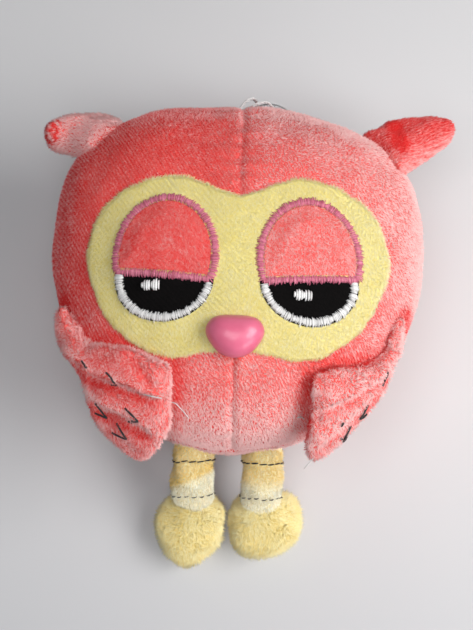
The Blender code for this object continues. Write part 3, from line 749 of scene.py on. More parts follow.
middlePlace = (0.0, 0.0, bodyForm["middle"])
panelPlanes = {
    "bodyFrontLeft": ((middlePlace, (0, 0, 1)), ((0, 0, 0), (1, 0, 0))),
    "bodyFrontRight": ((middlePlace, (0, 0, 1)), ((0, 0, 0), (-1, 0, 0))),
    "bodyBack": ((middlePlace, (0, 0, -1)),),
}
panelStandsFor = {
    "bodyFrontLeft": ("body_front_left",), "bodyFrontRight": ("body_front_right",),
    "bodyBack": ("body_back", "body_filling"),
}
for name, planes in panelPlanes.items():
    panel = newPiece(name, cutMesh(masterMesh, name, planes), coralGround)
    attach(panel, "torso")
    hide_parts(*panelStandsFor[name])

# pile: short fibres grown over a piece's cloth with Geometry Nodes


# light goes through a fringe of fibres, so pile on a flank is shaded as if it faced a little upwards
fringeLean = (0.0, -0.1, 0.55)
fibreSpread = {"width": (0.7, 1.3), "length": (0.6, 1.15)}


def makePileTree():
    tree = bpy.data.node_groups.new("growPile", "GeometryNodeTree")
    for label, kind, value in (
        ("Geometry", "NodeSocketGeometry", None), ("Density", "NodeSocketFloat", 7e6),
        ("Length", "NodeSocketFloat", 0.0013), ("Width", "NodeSocketFloat", 0.00013),
        ("Lift", "NodeSocketFloat", 0.8), ("Scatter", "NodeSocketFloat", 0.5),
        ("Wale pitch", "NodeSocketFloat", 0.0011), ("Wale strength", "NodeSocketFloat", 0.15),
        ("Wale way", "NodeSocketVector", (1.0, 0.5, 0.0)),
        ("Tuft size", "NodeSocketFloat", 0.0011), ("Tuft lean", "NodeSocketFloat", 1.2),
        ("Tuft tone", "NodeSocketFloat", 1.2), ("Tuft stretch", "NodeSocketFloat", 2.6),
        ("Fringe lean", "NodeSocketVector", fringeLean),
        ("Seed", "NodeSocketInt", 1), ("Finish", "NodeSocketMaterial", None),
    ):
        socket = tree.interface.new_socket(name=label, in_out="INPUT", socket_type=kind)
        if value is not None:
            socket.default_value = value
    tree.interface.new_socket(name="Geometry", in_out="OUTPUT", socket_type="NodeSocketGeometry")
    enter = tree.nodes.new("NodeGroupInput").outputs
    leave = tree.nodes.new("NodeGroupOutput")

    def vectorMath(operation, first, second=None):
        node = addNode(tree, "ShaderNodeVectorMath", operation=operation)
        for index, value in enumerate((first, second)):
            if isinstance(value, bpy.types.NodeSocket):
                tree.links.new(value, node.inputs[index])
            elif value is not None:
                node.inputs[index].default_value = value
        return node

    def scaled(vector, size):
        node = addNode(tree, "ShaderNodeVectorMath", operation="SCALE")
        tree.links.new(vector, node.inputs[0])
        tree.links.new(size, node.inputs["Scale"])
        return node.outputs[0]

    def randomFloat(low, high, seedShift):
        node = addNode(tree, "FunctionNodeRandomValue", data_type="FLOAT")
        node.inputs[2].default_value = low
        node.inputs[3].default_value = high
        tree.links.new(mathNode(tree, "ADD", enter["Seed"], seedShift), node.inputs["Seed"])
        return node.outputs[1]

    cover = addNode(tree, "GeometryNodeInputNamedAttribute", {"Name": "cover"}, data_type="FLOAT")
    scatter = addNode(tree, "GeometryNodeDistributePointsOnFaces", distribute_method="RANDOM")
    tree.links.new(enter["Geometry"], scatter.inputs["Mesh"])
    density = mathNode(tree, "MULTIPLY", enter["Density"], cover.outputs["Attribute"])
    tree.links.new(density, scatter.inputs["Density"])
    tree.links.new(enter["Seed"], scatter.inputs["Seed"])
    nap = addNode(tree, "GeometryNodeInputNamedAttribute", {"Name": "nap"}, data_type="FLOAT_VECTOR")
    loose = addNode(tree, "FunctionNodeRandomValue", data_type="FLOAT_VECTOR")
    loose.inputs[0].default_value = (-1.0, -1.0, -1.0)
    loose.inputs[1].default_value = (1.0, 1.0, 1.0)
    tree.links.new(mathNode(tree, "ADD", enter["Seed"], 17.0), loose.inputs["Seed"])
    lifted = scaled(scatter.outputs["Normal"], enter["Lift"])
    way = vectorMath("ADD", lifted, nap.outputs["Attribute"]).outputs[0]
    way = vectorMath("ADD", way, scaled(loose.outputs[0], enter["Scatter"])).outputs[0]
    place = addNode(tree, "GeometryNodeInputPosition").outputs[0]
    parts = addNode(tree, "ShaderNodeSeparateXYZ", {"Vector": place}).outputs
    across = addNode(tree, "ShaderNodeSeparateXYZ", {"Vector": enter["Wale way"]}).outputs
    lengthwise = addNode(tree, "ShaderNodeCombineXYZ", {
        "X": mathNode(tree, "MULTIPLY", across["Y"], -1.0), "Y": across["X"],
    }).outputs[0]
    long = mathNode(tree, "MULTIPLY", enter["Tuft size"], enter["Tuft stretch"])
    streaks = addNode(tree, "ShaderNodeCombineXYZ", {
        "X": mathNode(tree, "DIVIDE", vectorMath("DOT_PRODUCT", place, enter["Wale way"]).outputs["Value"],
                      enter["Tuft size"]),
        "Y": mathNode(tree, "DIVIDE", vectorMath("DOT_PRODUCT", place, lengthwise).outputs["Value"], long),
        "Z": mathNode(tree, "DIVIDE", parts["Z"], long),
    }).outputs[0]
    tufts = addNode(tree, "ShaderNodeTexNoise", {
        "Vector": streaks, "Scale": 1.0, "Detail": 1.0, "Distortion": 0.6,
    })
    tuftWay = vectorMath("SUBTRACT", tufts.outputs["Color"], (0.5, 0.5, 0.5)).outputs[0]
    way = vectorMath("ADD", way, scaled(tuftWay, enter["Tuft lean"])).outputs[0]
    turned = addNode(tree, "FunctionNodeAlignRotationToVector", {"Vector": way}, axis="Z")
    spin = addNode(tree, "ShaderNodeCombineXYZ", {"Z": randomFloat(0.0, math.tau, 31.0)})
    spun = addNode(tree, "FunctionNodeRotateRotation", {
        "Rotation": turned.outputs[0], "Rotate By": spin.outputs[0],
    }, rotation_space="LOCAL")
    width = mathNode(tree, "MULTIPLY", enter["Width"], randomFloat(*fibreSpread["width"], 43.0))
    tuftHeight = mathNode(tree, "ADD", tufts.outputs["Fac"], 0.5)
    length = mathNode(tree, "MULTIPLY", enter["Length"], randomFloat(*fibreSpread["length"], 59.0))
    length = mathNode(tree, "MULTIPLY", length, tuftHeight)
    size = addNode(tree, "ShaderNodeCombineXYZ", {"X": width, "Y": width, "Z": length})
    fibre = addNode(tree, "GeometryNodeMeshCone", {
        "Vertices": 3, "Radius Top": 0.0, "Radius Bottom": 1.0, "Depth": 1.0,
    })
    position = addNode(tree, "GeometryNodeInputPosition").outputs[0]
    height = addNode(tree, "ShaderNodeSeparateXYZ", {"Vector": position})
    marked = addNode(tree, "GeometryNodeStoreNamedAttribute",
                     {"Geometry": fibre.outputs["Mesh"], "Name": "tip", "Value": height.outputs["Z"]},
                     data_type="FLOAT", domain="POINT")
    position = addNode(tree, "GeometryNodeInputPosition").outputs[0]
    along = vectorMath("DOT_PRODUCT", position, enter["Wale way"])
    phase = mathNode(tree, "DIVIDE", along.outputs["Value"], enter["Wale pitch"])
    wale = mathNode(tree, "MULTIPLY", mathNode(tree, "SINE", mathNode(tree, "MULTIPLY", phase, math.tau)),
                    enter["Wale strength"])
    # the given tone holds painted light and shade per piece; wale and tuft variation are added to it
    given = addNode(tree, "GeometryNodeInputNamedAttribute", {"Name": "tone"}, data_type="FLOAT")
    tone = mathNode(tree, "ADD", wale, given.outputs["Attribute"])
    uneven = mathNode(tree, "SUBTRACT", tufts.outputs["Fac"], 0.5)
    tone = mathNode(tree, "MULTIPLY_ADD", uneven, enter["Tuft tone"], tone)
    roots = addNode(tree, "GeometryNodeStoreNamedAttribute",
                    {"Geometry": scatter.outputs["Points"], "Name": "tone", "Value": tone},
                    data_type="FLOAT", domain="POINT")
    roots = addNode(tree, "GeometryNodeStoreNamedAttribute",
                    {"Geometry": roots.outputs[0], "Name": "shade", "Value": randomFloat(0.0, 1.0, 71.0)},
                    data_type="FLOAT", domain="POINT")
    roots = addNode(tree, "GeometryNodeStoreNamedAttribute",
                    {"Geometry": roots.outputs[0], "Name": "lean",
                     "Value": vectorMath("ADD", scatter.outputs["Normal"], enter["Fringe lean"]).outputs[0]},
                    data_type="FLOAT_VECTOR", domain="POINT")
    grown = addNode(tree, "GeometryNodeInstanceOnPoints", {
        "Points": roots.outputs[0], "Instance": marked.outputs[0],
        "Rotation": spun.outputs[0], "Scale": size.outputs[0],
    })
    real = addNode(tree, "GeometryNodeRealizeInstances", {"Geometry": grown.outputs[0]})
    finished = addNode(tree, "GeometryNodeSetMaterial", {
        "Geometry": real.outputs[0], "Material": enter["Finish"],
    })
    tree.links.new(finished.outputs[0], leave.inputs["Geometry"])
    return tree


pileTree = makePileTree()


def evaluated(holder):
    # the object's mesh with its modifiers, after which the object goes
    bpy.context.view_layer.update()
    result = bpy.data.meshes.new_from_object(holder.evaluated_get(bpy.context.evaluated_depsgraph_get()))
    bpy.data.objects.remove(holder)
    return result


def runTree(tree, source, inputs):
    # evaluates a Geometry Nodes tree on a mesh and gives back a plain mesh
    holder = bpy.data.objects.new("holder", source)
    scene.collection.objects.link(holder)
    modifier = holder.modifiers.new("nodes", "NODES")
    modifier.node_group = tree
    for item in tree.interface.items_tree:
        if item.in_out == "INPUT" and item.name in inputs:
            modifier[item.identifier] = inputs[item.name]
    return evaluated(holder)


def setAttribute(mesh, name, kind, values):
    attribute = mesh.attributes.get(name) or mesh.attributes.new(name, kind, "POINT")
    attribute.data.foreach_set("vector" if kind == "FLOAT_VECTOR" else "value",
                               np.asarray(values, np.float32).ravel())


def planMap(mesh):
    # a map seen from above, so that each fibre has the colour of its place
    places = pointsOf(mesh)
    low, size = places.min(0), np.ptp(places, axis=0).max() * 1.02
    corners = np.empty(len(mesh.loops), int)
    mesh.loops.foreach_get("vertex_index", corners)
    layer = mesh.uv_layers.new(name="OFBake")
    layer.uv.foreach_set("vector", ((places[corners, :2] - low[:2]) / size + 0.01).astype(np.float32).ravel())


def growPile(name, source, cover, look, finish, body, seed, tone=0.0, lay=0.0, root=None):
    points, normals = pointsOf(source), normalsOf(source)
    setAttribute(source, "cover", "FLOAT", cover)
    # tone holds painted light and shade for each place on the cloth
    setAttribute(source, "tone", "FLOAT", np.broadcast_to(tone, len(points)))
    nap = np.broadcast_to(np.array(look["nap"], float), points.shape) + lay
    for axis in range(3):
        nap[:, axis] += look["swirl"] * softNoise(points, look["swirlSize"], seed * 10 + axis)
    nap -= normals * np.sum(nap * normals, axis=1)[:, None]
    setAttribute(source, "nap", "FLOAT_VECTOR", nap)
    mesh = runTree(pileTree, source, {
        "Density": look["density"] * 1e6, "Length": look["length"], "Width": look["width"],
        "Lift": look["lift"], "Scatter": look["scatter"], "Wale pitch": look.get("walePitch", 0.0011),
        "Wale strength": look.get("wale", 0.12), "Wale way": look.get("waleWay", (0.87, 0.5, 0.0)),
        "Tuft size": look.get("tuftSize", 0.0007), "Tuft lean": look.get("tuftLean", 1.2),
        "Tuft tone": look.get("tuftTone", 1.6), "Tuft stretch": look.get("tuftStretch", 1.8),
        "Fringe lean": look.get("fringeLean", fringeLean), "Seed": seed, "Finish": finish,
    })
    # fibres that meet the floor lie flat on it
    points = pointsOf(mesh)
    points[:, 2] = np.maximum(points[:, 2], 0.0)
    movePoints(mesh, points)
    mesh.shade_smooth()
    planMap(mesh)
    piece = newPiece(name, mesh, finish)
    # light goes through real fibres, so their own shadows stay off the cloth below them
    piece.visible_shadow = False
    if root:
        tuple(root[0])
        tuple(root[1])
        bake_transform(piece)
    else:
        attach(piece, body)
    print("pile", name, len(mesh.polygons))
    return piece


coralLook = {
    "density": 7.0, "length": 0.0011, "width": 0.00017, "lift": 0.75, "scatter": 0.30,
    "nap": (0.35, -0.6, 0.0), "swirl": 0.30, "swirlSize": 0.012, "wale": 0.30, "walePitch": 0.00095,
    "waleWay": (0.87, 0.5, 0.0),
}
backLook = dict(coralLook, density=2.9, width=0.00021)


def bodyCover(mesh):
    points = pointsOf(mesh)
    distance, inside = edgeDistance(points[:, :2], faceEdge)
    cover = np.where(inside & (points[:, 2] > bodyForm["middle"]) & (distance > 0.0006), 0.0, 1.0)
    return cover * eased(points[:, 2], 0.0002, 0.0012)


# the yellow face patch lies in the opening of the front
print("stage: face")


def frontPoint(places, lift):
    # places in plan, put on the front's cloth and raised by lift
    x, y = places[:, 0], places[:, 1]
    base = np.stack([x, y, frontHeight(x, y)], 1)
    relief = bodyRelief(base)
    return base + frontNormal(x, y) * (relief + lift)[:, None]


def cushionFaces(count, rings):
    # faces of an upper and a lower side, each a middle place with rings round it, joined at the last ring
    total = 1 + rings * count
    faces = []
    for base, flip in ((0, False), (total, True)):
        for n in range(count):
            tri = (base, base + 1 + n, base + 1 + (n + 1) % count)
            faces.append(tri[::-1] if flip else tri)
        for ring in range(rings - 1):
            for n in range(count):
                a = base + 1 + ring * count + n
                b = base + 1 + ring * count + (n + 1) % count
                quad = (a, a + count, b + count, b)
                faces.append(quad[::-1] if flip else quad)
    lastUpper = 1 + (rings - 1) * count
    for n in range(count):
        a, b = lastUpper + n, lastUpper + (n + 1) % count
        faces.append((a, a + total, b + total, b))
    return faces


def layerMesh(name, outline, middle, rings, top, thickness):
    # a closed piece of cloth over an outline in plan: top(places, inner) gives its height off the front
    count = len(outline)
    shares = np.linspace(0, 1, rings + 1)[1:] ** 0.85
    places = [np.array([middle], float)]
    for share in shares:
        places.append(middle + (outline - middle) * share)
    places = np.vstack(places)
    distance, _ = edgeDistance(places, outline)
    upper = frontPoint(places, top(places, distance))
    lower = frontPoint(places, top(places, distance) - thickness)
    return closeFaces(meshFrom(name, np.vstack([upper, lower]), cushionFaces(count, rings)))


def topOf(mesh, keep):
    # the part of a closed piece's cloth whose faces keep() accepts, as an open mesh for the pile
    bm = bmesh.new()
    bm.from_mesh(mesh)
    bm.normal_update()
    gone = [face for face in bm.faces if not keep(face)]
    bmesh.ops.delete(bm, geom=gone, context="FACES")
    out = bpy.data.meshes.new(mesh.name + "Cloth")
    bm.to_mesh(out)
    bm.free()
    out.shade_smooth()
    return out


eyeForm = {
    "side": 0.0223, "level": -0.0135, "halfWidth": 0.0167, "halfHeight": 0.0199, "trim": 0.0026,
    "edgeDrop": 0.0074, "slope": 0.103, "rimHalfWidth": 0.0153, "rimHalfHeight": 0.0133, "rimReach": 0.0203,
    "rim": 0.0026, "places": 220,
}


def ellipsePlaces(middle, halfWidth, halfHeight, count):
    angle = np.linspace(0, math.tau, count, endpoint=False)
    return np.stack([middle[0] + halfWidth * np.cos(angle), middle[1] + halfHeight * np.sin(angle)], 1)


def clippedPlaces(outline, point, normal, count):
    # the part of the outline on the side that normal points to, spaced evenly
    result = []
    for here, there in zip(outline, np.roll(outline, -1, axis=0)):
        near, far = (here - point) @ normal, (there - point) @ normal
        if near >= 0:
            result.append(here)
        if near * far < 0:
            result.append(here + (there - here) * (near / (near - far)))
    return evenPlaces(np.array(result), count, True)


def eyeOutlines(e):
    middle = np.array((e["side"], e["level"]))
    normal = np.array((-e["slope"], 1.0))
    normal /= np.linalg.norm(normal)
    edge = middle - (0.0, e["edgeDrop"])
    whole = ellipsePlaces(middle, e["halfWidth"], e["halfHeight"], e["places"])
    inner = ellipsePlaces(middle, e["halfWidth"] - e["trim"], e["halfHeight"] - e["trim"], e["places"])
    half = e["trim"] / 2
    centre = ellipsePlaces(middle, e["halfWidth"] - half, e["halfHeight"] - half, e["places"])
    rimMiddle = middle - (0.0, e["rimReach"] - e["rimHalfHeight"])
    below = edge + normal * e["trim"] * 0.55
    rim = ellipsePlaces(rimMiddle, e["rimHalfWidth"], e["rimHalfHeight"], e["places"])
    half = e["rim"] / 2
    rimCentre = ellipsePlaces(rimMiddle, e["rimHalfWidth"] - half, e["rimHalfHeight"] - half, e["places"])
    return {
        "trim": clippedPlaces(whole, edge, normal, e["places"]),
        "lid": clippedPlaces(inner, edge + normal * e["trim"], normal, e["places"]),
        "trimCentre": clippedPlaces(centre, edge + normal * e["trim"] / 2, normal, e["places"]),
        "pupil": clippedPlaces(rim, below, -normal, e["places"]),
        "rimCentre": rimCentre[(rimCentre - edge) @ normal < 0.0004],
        "middle": middle,
    }


eyes = eyeOutlines(eyeForm)


def mirroredPlaces(places, side):
    return places * (side, 1.0)


patchLook = {
    "rings": 60, "raise": 0.0009, "thickness": 0.0014, "roll": 0.0016, "pileGap": 0.0003, "fringe": 0.0013,
    "eyeSide": 0.024, "eyeHeight": -0.010,
    "pile": {
        "density": 9.5, "length": 0.0013, "width": 0.00012, "lift": 0.5, "scatter": 0.4,
        "nap": (0.0, -0.7, 0.0), "swirl": 0.35, "swirlSize": 0.014,
        "wale": 0.05, "waleWay": (0.85, -0.5, 0.0),
    },
}


def makeFacePatch(p):
    middle = np.array((0.0, -0.016))

    def top(places, distance):
        return p["raise"] * eased(distance, 0.0, p["roll"]) - 0.0003

    mesh = layerMesh("facePatch", faceEdge, middle, p["rings"], top, p["thickness"])
    patch = newPiece("facePatch", mesh, yellowGround)
    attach(patch, "torso")
    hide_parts("face_patch")
    cloth = topOf(mesh, lambda face: face.normal.z > 0.1)
    points = pointsOf(cloth)[:, :2]
    cover = 1.0 + 0.6 * np.exp(-(edgeDistance(points, faceEdge)[0] / 0.001) ** 2)
    for side in (1, -1):
        for form in ("trim", "pupil"):
            distance, inside = edgeDistance(points, mirroredPlaces(eyes[form], side))
            cover[inside | (distance < p["pileGap"])] = 0.0
    # the fringe lies over the edge, away from the nearer eye
    near = np.exp(-(edgeDistance(points, faceEdge)[0] / p["fringe"]) ** 2)
    eye = np.where(points[:, :1] > 0, 1.0, -1.0) * (p["eyeSide"], 0.0) + (0.0, p["eyeHeight"])
    outward = (points - eye) / np.linalg.norm(points - eye, axis=1)[:, None] * (1.8 * near)[:, None]
    # painted light: the patch is paler towards its lit side (+x)
    tone = 0.15 * eased(points[:, 0], 0.02, 0.045) + 0.05
    growPile("facePatchPile", cloth, cover, p["pile"], yellowPile, "torso", 31, tone=tone,
             lay=np.hstack([outward, np.zeros((len(points), 1))]))


makeFacePatch(patchLook)
patchLift = patchLook["raise"] - 0.0003


def threadRows(name, starts, ends, overs, finish, body, look, seed):
    # satin stitches: each thread runs from its start to its end over a low hump
    random = np.random.default_rng(seed)
    count = len(starts)
    steps, segments = look["steps"], look["segments"]
    points, faces, shades = [], [], []
    for index in range(count):
        start, end, over = starts[index], ends[index], overs[index]
        span = end - start
        side = np.cross(span, over)
        side /= np.linalg.norm(side)
        radius = look["radius"] * random.uniform(0.85, 1.15)
        lengthShift = random.uniform(-look["ragged"], look["ragged"], 2)
        shade = random.uniform()
        slide = side * random.normal() * look["radius"] * 0.25
        base = len(points)
        for n in range(steps + 1):
            share = n / steps
            wide = (share - 0.5) * (1 + lengthShift[0] + lengthShift[1] * share) + 0.5
            hump = look["hump"] * (1 - (2 * share - 1) ** 4) + look["sink"]
            middle = start + span * wide + over * hump + slide
            taper = radius * (1 - 0.45 * abs(2 * share - 1) ** 3)
            for k in range(segments):
                angle = math.tau * k / segments
                points.append(middle + side * taper * math.cos(angle) + over * taper * math.sin(angle))
        for n in range(steps):
            for k in range(segments):
                a, b = base + n * segments + k, base + n * segments + (k + 1) % segments
                faces.append((a, b, b + segments, a + segments))
        faces.append(tuple(base + k for k in range(segments))[::-1])
        faces.append(tuple(base + steps * segments + k for k in range(segments)))
        shades += [shade] * ((steps + 1) * segments)
    mesh = meshFrom(name, points, faces)
    setAttribute(mesh, "shade", "FLOAT", shades)
    planMap(mesh)
    piece = newPiece(name, closeThreads(mesh), finish)
    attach(piece, body)
    return piece


def closeThreads(mesh):
    bm = bmesh.new()
    bm.from_mesh(mesh)
    bmesh.ops.recalc_face_normals(bm, faces=bm.faces)
    bm.to_mesh(mesh)
    bm.free()
    mesh.shade_smooth()
    return mesh


def satinStitch(name, path, width, closed, lift, finish, look, seed):
    # threads across a path in plan, laid on the front
    length = np.linalg.norm(np.diff(path, axis=0), axis=1).sum()
    count = int(length / look["pitch"])
    even = evenPlaces(path, count, closed)
    ahead = np.roll(even, -1, axis=0) - np.roll(even, 1, axis=0)
    if not closed:
        ahead = np.gradient(even, axis=0)
    across = np.stack([ahead[:, 1], -ahead[:, 0]], 1)
    across /= np.linalg.norm(across, axis=1)[:, None]
    starts = frontPoint(even - across * width / 2, lift)
    ends = frontPoint(even + across * width / 2, lift)
    overs = frontNormal(even[:, 0], even[:, 1])
    return threadRows(name, starts, ends, overs, finish, "torso", look, seed)


eyeLook = {
    "lidPaintedLight": {1: 0.50, -1: -0.16}, "lidRings": 26, "lidThickness": 0.0016, "lidDome": 0.0011,
    "lidEdge": 0.006, "pupilRings": 16, "pupilThickness": 0.0012,
    "lifts": {"lid": 0.0004, "trim": 0.0002, "pupil": 0.0002, "rim": 0.0003, "glint": 0.0007},
    "satin": {"steps": 6, "segments": 6, "radius": 0.00017, "ragged": 0.30, "hump": 0.0007, "sink": -0.0002,
              "pitch": 0.00031},
    "glintThread": {"steps": 6, "segments": 8, "radius": 0.00036, "ragged": 0.06, "hump": 0.0006,
                    "sink": -0.0002, "pitch": 0.00072},
    "lidPile": {
        "density": 11.0, "length": 0.0010, "width": 0.00013, "lift": 0.65, "scatter": 0.55,
        "nap": (0.0, -0.6, 0.0), "swirl": 0.5, "swirlSize": 0.008, "wale": 0.05,
    },
    "feltPile": {
        "density": 8.0, "length": 0.0006, "width": 0.00009, "lift": 0.7, "scatter": 0.8,
        "nap": (0.0, -0.3, 0.0), "swirl": 0.5, "swirlSize": 0.006, "wale": 0.0,
    },
    "glints": {1: (0.0203, -0.0246), -1: (-0.0259, -0.0228)}, "glintHalfWidth": 0.0027, "glintHeight": 0.0034,
}


def makeEye(side, name, look):
    lid = mirroredPlaces(eyes["lid"], side)
    lidMiddle = lid.mean(0)
    lifts = {key: patchLift + lift for key, lift in look["lifts"].items()}

    def lidTop(places, distance):
        return lifts["lid"] + look["lidDome"] * eased(distance, 0.0, look["lidEdge"])

    mesh = layerMesh("eyelid_" + name, lid, lidMiddle, look["lidRings"], lidTop, look["lidThickness"])
    piece = newPiece("eyelid_" + name + "_felt", mesh, coralGround)
    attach(piece, "torso")
    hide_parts("eyelid_" + name)
    cloth = topOf(mesh, lambda face: face.normal.z > 0.1)
    # painted light: the owl's left eyelid, on the lit side, is paler and the right one darker
    growPile("eyelidPile_" + name, cloth, np.ones(len(cloth.vertices)), look["lidPile"], coralPile,
             "torso", 40 + side, tone=look["lidPaintedLight"][side])
    trim = mirroredPlaces(eyes["trimCentre"], side)
    threads = satinStitch("eyelidTrim_" + name, trim, eyeForm["trim"], True, lifts["trim"], mauveThread,
                          look["satin"], 50 + side)
    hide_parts("eyelid_trim_" + name)

    pupil = mirroredPlaces(eyes["pupil"], side)

    def pupilTop(places, distance):
        return np.full(len(places), lifts["pupil"])

    mesh = layerMesh("pupil_" + name, pupil, pupil.mean(0), look["pupilRings"], pupilTop,
                     look["pupilThickness"])
    piece = newPiece("pupil_" + name + "_felt", mesh, blackGround)
    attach(piece, "torso")
    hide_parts("pupil_" + name)
    cloth = topOf(mesh, lambda face: face.normal.z > 0.1)
    growPile("pupilPile_" + name, cloth, np.ones(len(cloth.vertices)), look["feltPile"], blackFelt,
             "torso", 60 + side)

    rim = mirroredPlaces(eyes["rimCentre"], side)
    if side < 0:
        rim = rim[::-1]
    start = int(np.argmax(np.linalg.norm(np.diff(np.vstack([rim, rim[:1]]), axis=0), axis=1))) + 1
    rim = np.roll(rim, -start, axis=0)
    threads = satinStitch("eyeRim_" + name, rim, eyeForm["rim"], False, lifts["rim"], whiteThread,
                          look["satin"], 70 + side)
    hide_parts("eye_rim_" + name)

    glint = np.array(look["glints"][side])
    starts, ends, overs = [], [], []
    half = look["glintHalfWidth"]
    for x in np.arange(-half, half + 1e-6, look["glintThread"]["pitch"]):
        share = abs(x) / half
        lobe = math.sqrt(max(0.0, 1 - ((share - 0.52) / 0.50) ** 2))
        tall = look["glintHeight"] / 2 * (0.35 + 0.65 * lobe)
        for group, sign in ((starts, -1), (ends, 1)):
            group.append(glint + (x, tall * sign))
    starts = frontPoint(np.array(starts), lifts["glint"])
    ends = frontPoint(np.array(ends), lifts["glint"])
    overs = frontNormal(*((starts + ends)[:, :2] / 2).T)
    threads = threadRows("eyeGlint_" + name, starts, ends, overs, whiteThread, "torso",
                         look["glintThread"], 80 + side)
    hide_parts("eye_glint_" + name)


for side, name in ((1, "left"), (-1, "right")):
    makeEye(side, name, eyeLook)

# the beak, a smooth moulded form on its own leaning axis
beakForm = {
    "width": 0.0182, "height": 0.0132, "rise": 0.0066, "level": -0.038, "roundness": 0.85,
    "shares": (
        (0.0, 0.50), (0.34, 0.45), (0.49, 0.20), (0.45, -0.08), (0.27, -0.37), (0.0, -0.50),
        (-0.27, -0.37), (-0.45, -0.08), (-0.49, 0.20), (-0.34, 0.45),
    ),
    "segments": 96, "rings": 26, "lift": 0.0006, "slopeStep": 0.0003, "foot": 0.99,
}


def makeBeak(b):
    outline = evenCurve([(x * b["width"], y * b["height"]) for x, y in b["shares"]], b["segments"])
    height = float(frontHeight(np.array(0.0), np.array(b["level"])))
    step = b["slopeStep"]
    lean = math.atan2(float(frontHeight(np.array(0.0), np.array(b["level"] + step))) - height, step)
    place = Matrix.Translation((0.0, b["level"], height)) @ Matrix.Rotation(lean, 4, "X")
    points, faces = [place @ Vector((0.0, 0.0, b["rise"] + b["lift"]))], []
    for ring in range(1, b["rings"] + 1):
        share = math.sin(math.pi / 2 * ring / b["rings"])
        rise = max(0.0, math.cos(math.pi / 2 * ring / b["rings"])) ** b["roundness"]
        for x, y in outline:
            points.append(place @ Vector((x * share, y * share, b["rise"] * rise + b["lift"])))
    for x, y in outline * b["foot"]:
        points.append(place @ Vector((x, y, -b["lift"])))
    count = b["segments"]
    for n in range(count):
        faces.append((0, 1 + n, 1 + (n + 1) % count))
    for ring in range(b["rings"]):
        for n in range(count):
            a, c = 1 + ring * count + n, 1 + ring * count + (n + 1) % count
            faces.append((a, a + count, c + count, c))
    last = 1 + b["rings"] * count
    faces.append(tuple(last + n for n in range(count))[::-1])
    beak = newPiece("beakShell", closeFaces(meshFrom("beakShell", points, faces)), beakPlastic)
    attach(beak, "torso")
    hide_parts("beak")


makeBeak(beakForm)
washer = nodes["beak_washer"]
washer.data.materials.clear()
washer.data.materials.append(washerPlastic)

# stuffed pads: wings, ears, feet
print("stage: pads")


def padMesh(name, outline, middle, rings, surface):
    # a closed cushion over an outline: surface(places, share, upper) gives its points
    count = len(outline)
    turns = np.linspace(0, math.pi / 2, rings + 1)[1:]
    shares = np.sin(turns)
    places = [np.array([middle], float)]
    rise = [np.ones(1)]
    for share in shares:
        places.append(middle + (outline - middle) * share)
        rise.append(np.full(count, math.sqrt(max(0.0, 1 - share * share))))
    places, rise = np.vstack(places), np.concatenate(rise)
    upper, lower = surface(places, rise, True), surface(places, rise, False)
    return closeFaces(meshFrom(name, np.vstack([upper, lower]), cushionFaces(count, rings)))


simulation = {
    "enlarge": 10.0, "voxel": 0.0013, "pressure": 4.0, "frames": 20, "cap": 0.0012,
    "quality": 6, "stretch": 12, "bend": 0.3,
}


def puffUp(mesh, name, voxel=None, cap=None, pressure=None):
    # swells a pad as stuffed cloth does: remesh, Cloth with pressure, a cap on the movement
    s = simulation
    voxel, cap = voxel or s["voxel"], cap or s["cap"]
    big = s["enlarge"]
    movePoints(mesh, pointsOf(mesh) * big)
    pad = bpy.data.objects.new(name + "Trial", mesh)
    scene.collection.objects.link(pad)
    bpy.context.view_layer.objects.active = pad
    pad.select_set(True)
    remesh = pad.modifiers.new("remesh", "REMESH")
    remesh.mode = "VOXEL"
    remesh.voxel_size = voxel * big
    bpy.ops.object.modifier_apply(modifier="remesh")
    mesh = pad.data
    mesh.shade_smooth()
    rest = pointsOf(mesh)
    cloth = pad.modifiers.new("cloth", "CLOTH")
    cloth.settings.use_pressure = True
    cloth.settings.uniform_pressure_force = pressure or s["pressure"]
    cloth.settings.effector_weights.gravity = 0.0
    cloth.settings.quality = s["quality"]
    cloth.settings.tension_stiffness = s["stretch"]
    cloth.settings.compression_stiffness = s["stretch"]
    cloth.settings.bending_stiffness = s["bend"]
    cloth.point_cache.frame_start = 1
    cloth.point_cache.frame_end = s["frames"]
    for moment in range(1, s["frames"] + 1):
        scene.frame_set(moment)
    swollen = pad.evaluated_get(bpy.context.evaluated_depsgraph_get())
    moved = pointsOf(swollen.data)
    shift = moved - rest
    far = np.linalg.norm(shift, axis=1)
    shift *= np.minimum(1.0, cap * big / np.maximum(far, 1e-9))[:, None]
    pad.modifiers.remove(cloth)
    scene.frame_set(1)
    rest = rest + shift
    movePoints(mesh, rest / big)
    bpy.data.objects.remove(pad)
    return mesh


def smoothed(mesh, turns=1, share=0.5):
    # averages each point with its neighbours
    edges = np.empty(len(mesh.edges) * 2, int)
    mesh.edges.foreach_get("vertices", edges)
    edges = edges.reshape(-1, 2)
    points = pointsOf(mesh)
    number = np.bincount(edges.ravel(), minlength=len(points))[:, None]
    for _ in range(turns):
        total = np.zeros_like(points)
        np.add.at(total, edges[:, 0], points[edges[:, 1]])
        np.add.at(total, edges[:, 1], points[edges[:, 0]])
        points = points * (1 - share) + total / np.maximum(number, 1) * share
    movePoints(mesh, points)
    return mesh


def divided(mesh, name):
    holder = bpy.data.objects.new(name + "Divide", mesh)
    scene.collection.objects.link(holder)
    modifier = holder.modifiers.new("divide", "SUBSURF")
    modifier.levels = modifier.render_levels = 1
    result = evaluated(holder)
    result.shade_smooth()
    return result


def treeOf(mesh):
    return BVHTree.FromPolygons(pointsOf(mesh).tolist(), [tuple(f.vertices) for f in mesh.polygons])


